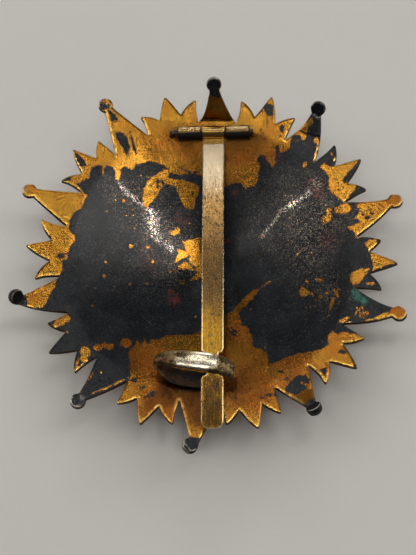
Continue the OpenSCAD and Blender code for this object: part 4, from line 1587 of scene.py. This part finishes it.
@dataclass(frozen=True)
class HookFinish:
    """Silver, rubbed bright where a finger pushes the blade, with a painted highlight on that patch, and
    dark elsewhere.
    """

    # Pale silver of the rubbed patch and its painted highlight.
    rub_and_highlight: Colour = (0.95, 0.84, 0.63)
    dull: Colour = (0.26, 0.185, 0.085)
    black: Colour = (0.010, 0.008, 0.006)
    brown: Colour = (0.055, 0.022, 0.008)
    rust: Colour = (0.13, 0.045, 0.03)
    specular: float = 0.2
    cloud_size: float = 1.8 * MM
    grain_size: float = 0.35 * MM
    dent_depth: float = 0.07 * MM

    def material(self) -> bpy.types.Material:
        """Builds the finish.

        Returns:
            The material.
        """
        tree = Tree("rubbed_silver_painted_highlight")
        tree.shader.inputs["Specular IOR Level"].default_value = self.specular
        rubbed, edge, outside = tree.stored("rubbed"), tree.stored("edge"), tree.stored("outside")
        broad = tree.noise(self.cloud_size, 3.0)
        fine = tree.noise(self.grain_size, 3.0, shift=4.0)
        rubbed_and_lit = (rubbed * 1.1 + (broad - 0.5) * 0.9 + (fine - 0.5) * 0.9).step(0.25, 0.85) * outside
        colour = tree.mix(self.black, self.brown, (broad * 0.5 + fine * 0.5).step(0.42, 0.62))
        colour = colour.toward(self.dull, outside * (broad * 0.5 + fine * 0.5).step(0.38, 0.60))
        colour = colour.toward(self.rust, tree.stored("red") * 0.7)
        # Painted highlight on the rubbed patch.
        colour = colour.toward(self.rub_and_highlight, rubbed_and_lit)
        colour = colour.toward(self.dull, edge.step(0.30, 0.08) * (1.0 - rubbed_and_lit) * 0.7 * outside)
        pits = (fine * 0.6 + broad * 0.4).step(0.58, 0.66)
        colour = colour.toward(self.black, pits * 0.7)
        rough = 0.34 - 0.12 * rubbed_and_lit + 0.2 * pits + 0.30 * (1.0 - outside)
        relief = tree.bump(broad + fine * 0.3 - pits * 0.4, self.dent_depth, 0.5)
        return tree.finish(colour, rough, (0.1 + 0.9 * outside).least(1.0), relief)


@dataclass
class Hinge:
    """The two soldered barrels and the rod that runs through them."""

    edge_round: float = 0.14 * MM
    finest: float = 0.25 * MM
    passes: int = 5

    def barrel(self, node: str) -> bpy.types.Object:
        """Builds one soldered barrel.

        Args:
            node: the CAD node that it stands for.

        Returns:
            The piece.
        """
        piece = merged_copy(node, f"silver_{node}")
        gauge = round_edges(piece, self.edge_round, 3)
        for _ in range(self.passes):
            refine(piece, self.finest)
        activate(piece)
        bpy.ops.object.shade_smooth_by_angle(angle=SMOOTH)
        store(piece, "edge", gauge.distances(vectors(piece.data.vertices, "co")))
        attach(piece, "star")
        return piece

    def rod(self) -> bpy.types.Object:
        """Builds the rod.

        Returns:
            The piece.
        """
        piece = merged_copy("hinge_rod", "iron_hinge_rod")
        round_edges(piece, 2 * self.edge_round, 3)
        activate(piece)
        bpy.ops.object.shade_smooth_by_angle(angle=SMOOTH)
        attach(piece, "star")
        return piece

    def build(self) -> list[bpy.types.Object]:
        """Builds the barrels and the rod.

        Returns:
            The pieces.
        """
        barrel_finish = BarrelFinish(*hinge_barrel()).material()
        barrels = [self.barrel("left_knuckle"), self.barrel("right_knuckle")]
        for piece in barrels:
            piece.data.materials.append(barrel_finish)
        rod = self.rod()
        rod.data.materials.append(RodFinish().material())
        return [*barrels, rod]


@dataclass(frozen=True)
class BarrelFinish:
    """Silver, black with painted shade on its near, lower side; beyond that it is rubbed and shinier, with
    a painted highlight in a band along its top, and black again on its far side.
    """

    middle_y: float
    radius: float
    rub_and_highlight: Colour = (0.62, 0.47, 0.26)
    dull: Colour = (0.24, 0.135, 0.04)
    black: Colour = (0.014, 0.011, 0.008)
    drawn_out: Triple = (0.3, 1.0, 1.0)
    streak_size: float = 0.35 * MM
    grain_size: float = 0.20 * MM
    grain_depth: float = 0.03 * MM

    def material(self) -> bpy.types.Material:
        """Builds the finish.

        Returns:
            The material.
        """
        tree = Tree("barrel_silver")
        drawn = tree.stretched(self.drawn_out)
        streak = tree.noise(self.streak_size, 3.0, 0.6, drawn)
        fine = tree.noise(self.grain_size, 3.0, shift=2.0)
        far = (tree.coordinate(1) - self.middle_y) * (1.0 / self.radius) + (streak - 0.5) * 0.5
        # Painted shade: black on the barrel's near, lower side.
        rubbed_and_lit = far.step(-0.60, -0.25)
        colour = tree.mix(self.black, self.dull, rubbed_and_lit)
        # Painted highlight: a bright band along the barrel's top.
        rub_and_highlight = rubbed_and_lit * (streak * 0.6 + fine * 0.4).step(0.40, 0.60)
        colour = colour.toward(self.rub_and_highlight, rub_and_highlight * far.step(0.55, 0.35) * far.step(-0.25, 0.0))
        colour = colour.toward(self.black, far.step(0.42, 0.70) * 0.8)
        colour = colour.toward(self.black, tree.stored("edge").step(0.40, 0.20) * 0.85)
        rough = 0.60 - 0.36 * rubbed_and_lit + 0.1 * (fine - 0.5)
        relief = tree.bump(streak + fine * 0.5, self.grain_depth, 0.35)
        return tree.finish(colour, rough, (0.2 + 0.8 * rubbed_and_lit).least(1.0), relief)


@dataclass(frozen=True)
class RodFinish:
    """Rusty brown iron."""

    dark: Colour = (0.03, 0.02, 0.016)
    brown: Colour = (0.16, 0.085, 0.055)
    pink: Colour = (0.36, 0.22, 0.17)
    lump_size: float = 0.60 * MM
    grain_size: float = 0.20 * MM
    lump_depth: float = 0.12 * MM

    def material(self) -> bpy.types.Material:
        """Builds the finish.

        Returns:
            The material.
        """
        tree = Tree("rusty_rod")
        lump = tree.noise(self.lump_size, 3.0)
        fine = tree.noise(self.grain_size, 3.0, shift=6.0)
        colour = tree.mix(self.dark, self.brown, lump.step(0.35, 0.6))
        colour = colour.toward(self.pink, fine.step(0.5, 0.7) * 0.6)
        relief = tree.bump(lump + fine * 0.4, self.lump_depth, 0.6)
        return tree.finish(colour, 0.5 + 0.2 * fine, 0.6, relief)


def main() -> None:
    """Builds the scene and works out the triangles of each piece."""
    logging.basicConfig(level=logging.INFO, format="%(name)s: %(message)s")
    CAMERA.place()
    Studio().build()
    pieces = [StarPlate().build(), PinBlade().build(), CatchHook().build(), *Hinge().build()]
    for piece in pieces:
        piece.data.calc_loop_triangles()


if __name__ == "__main__":
    main()
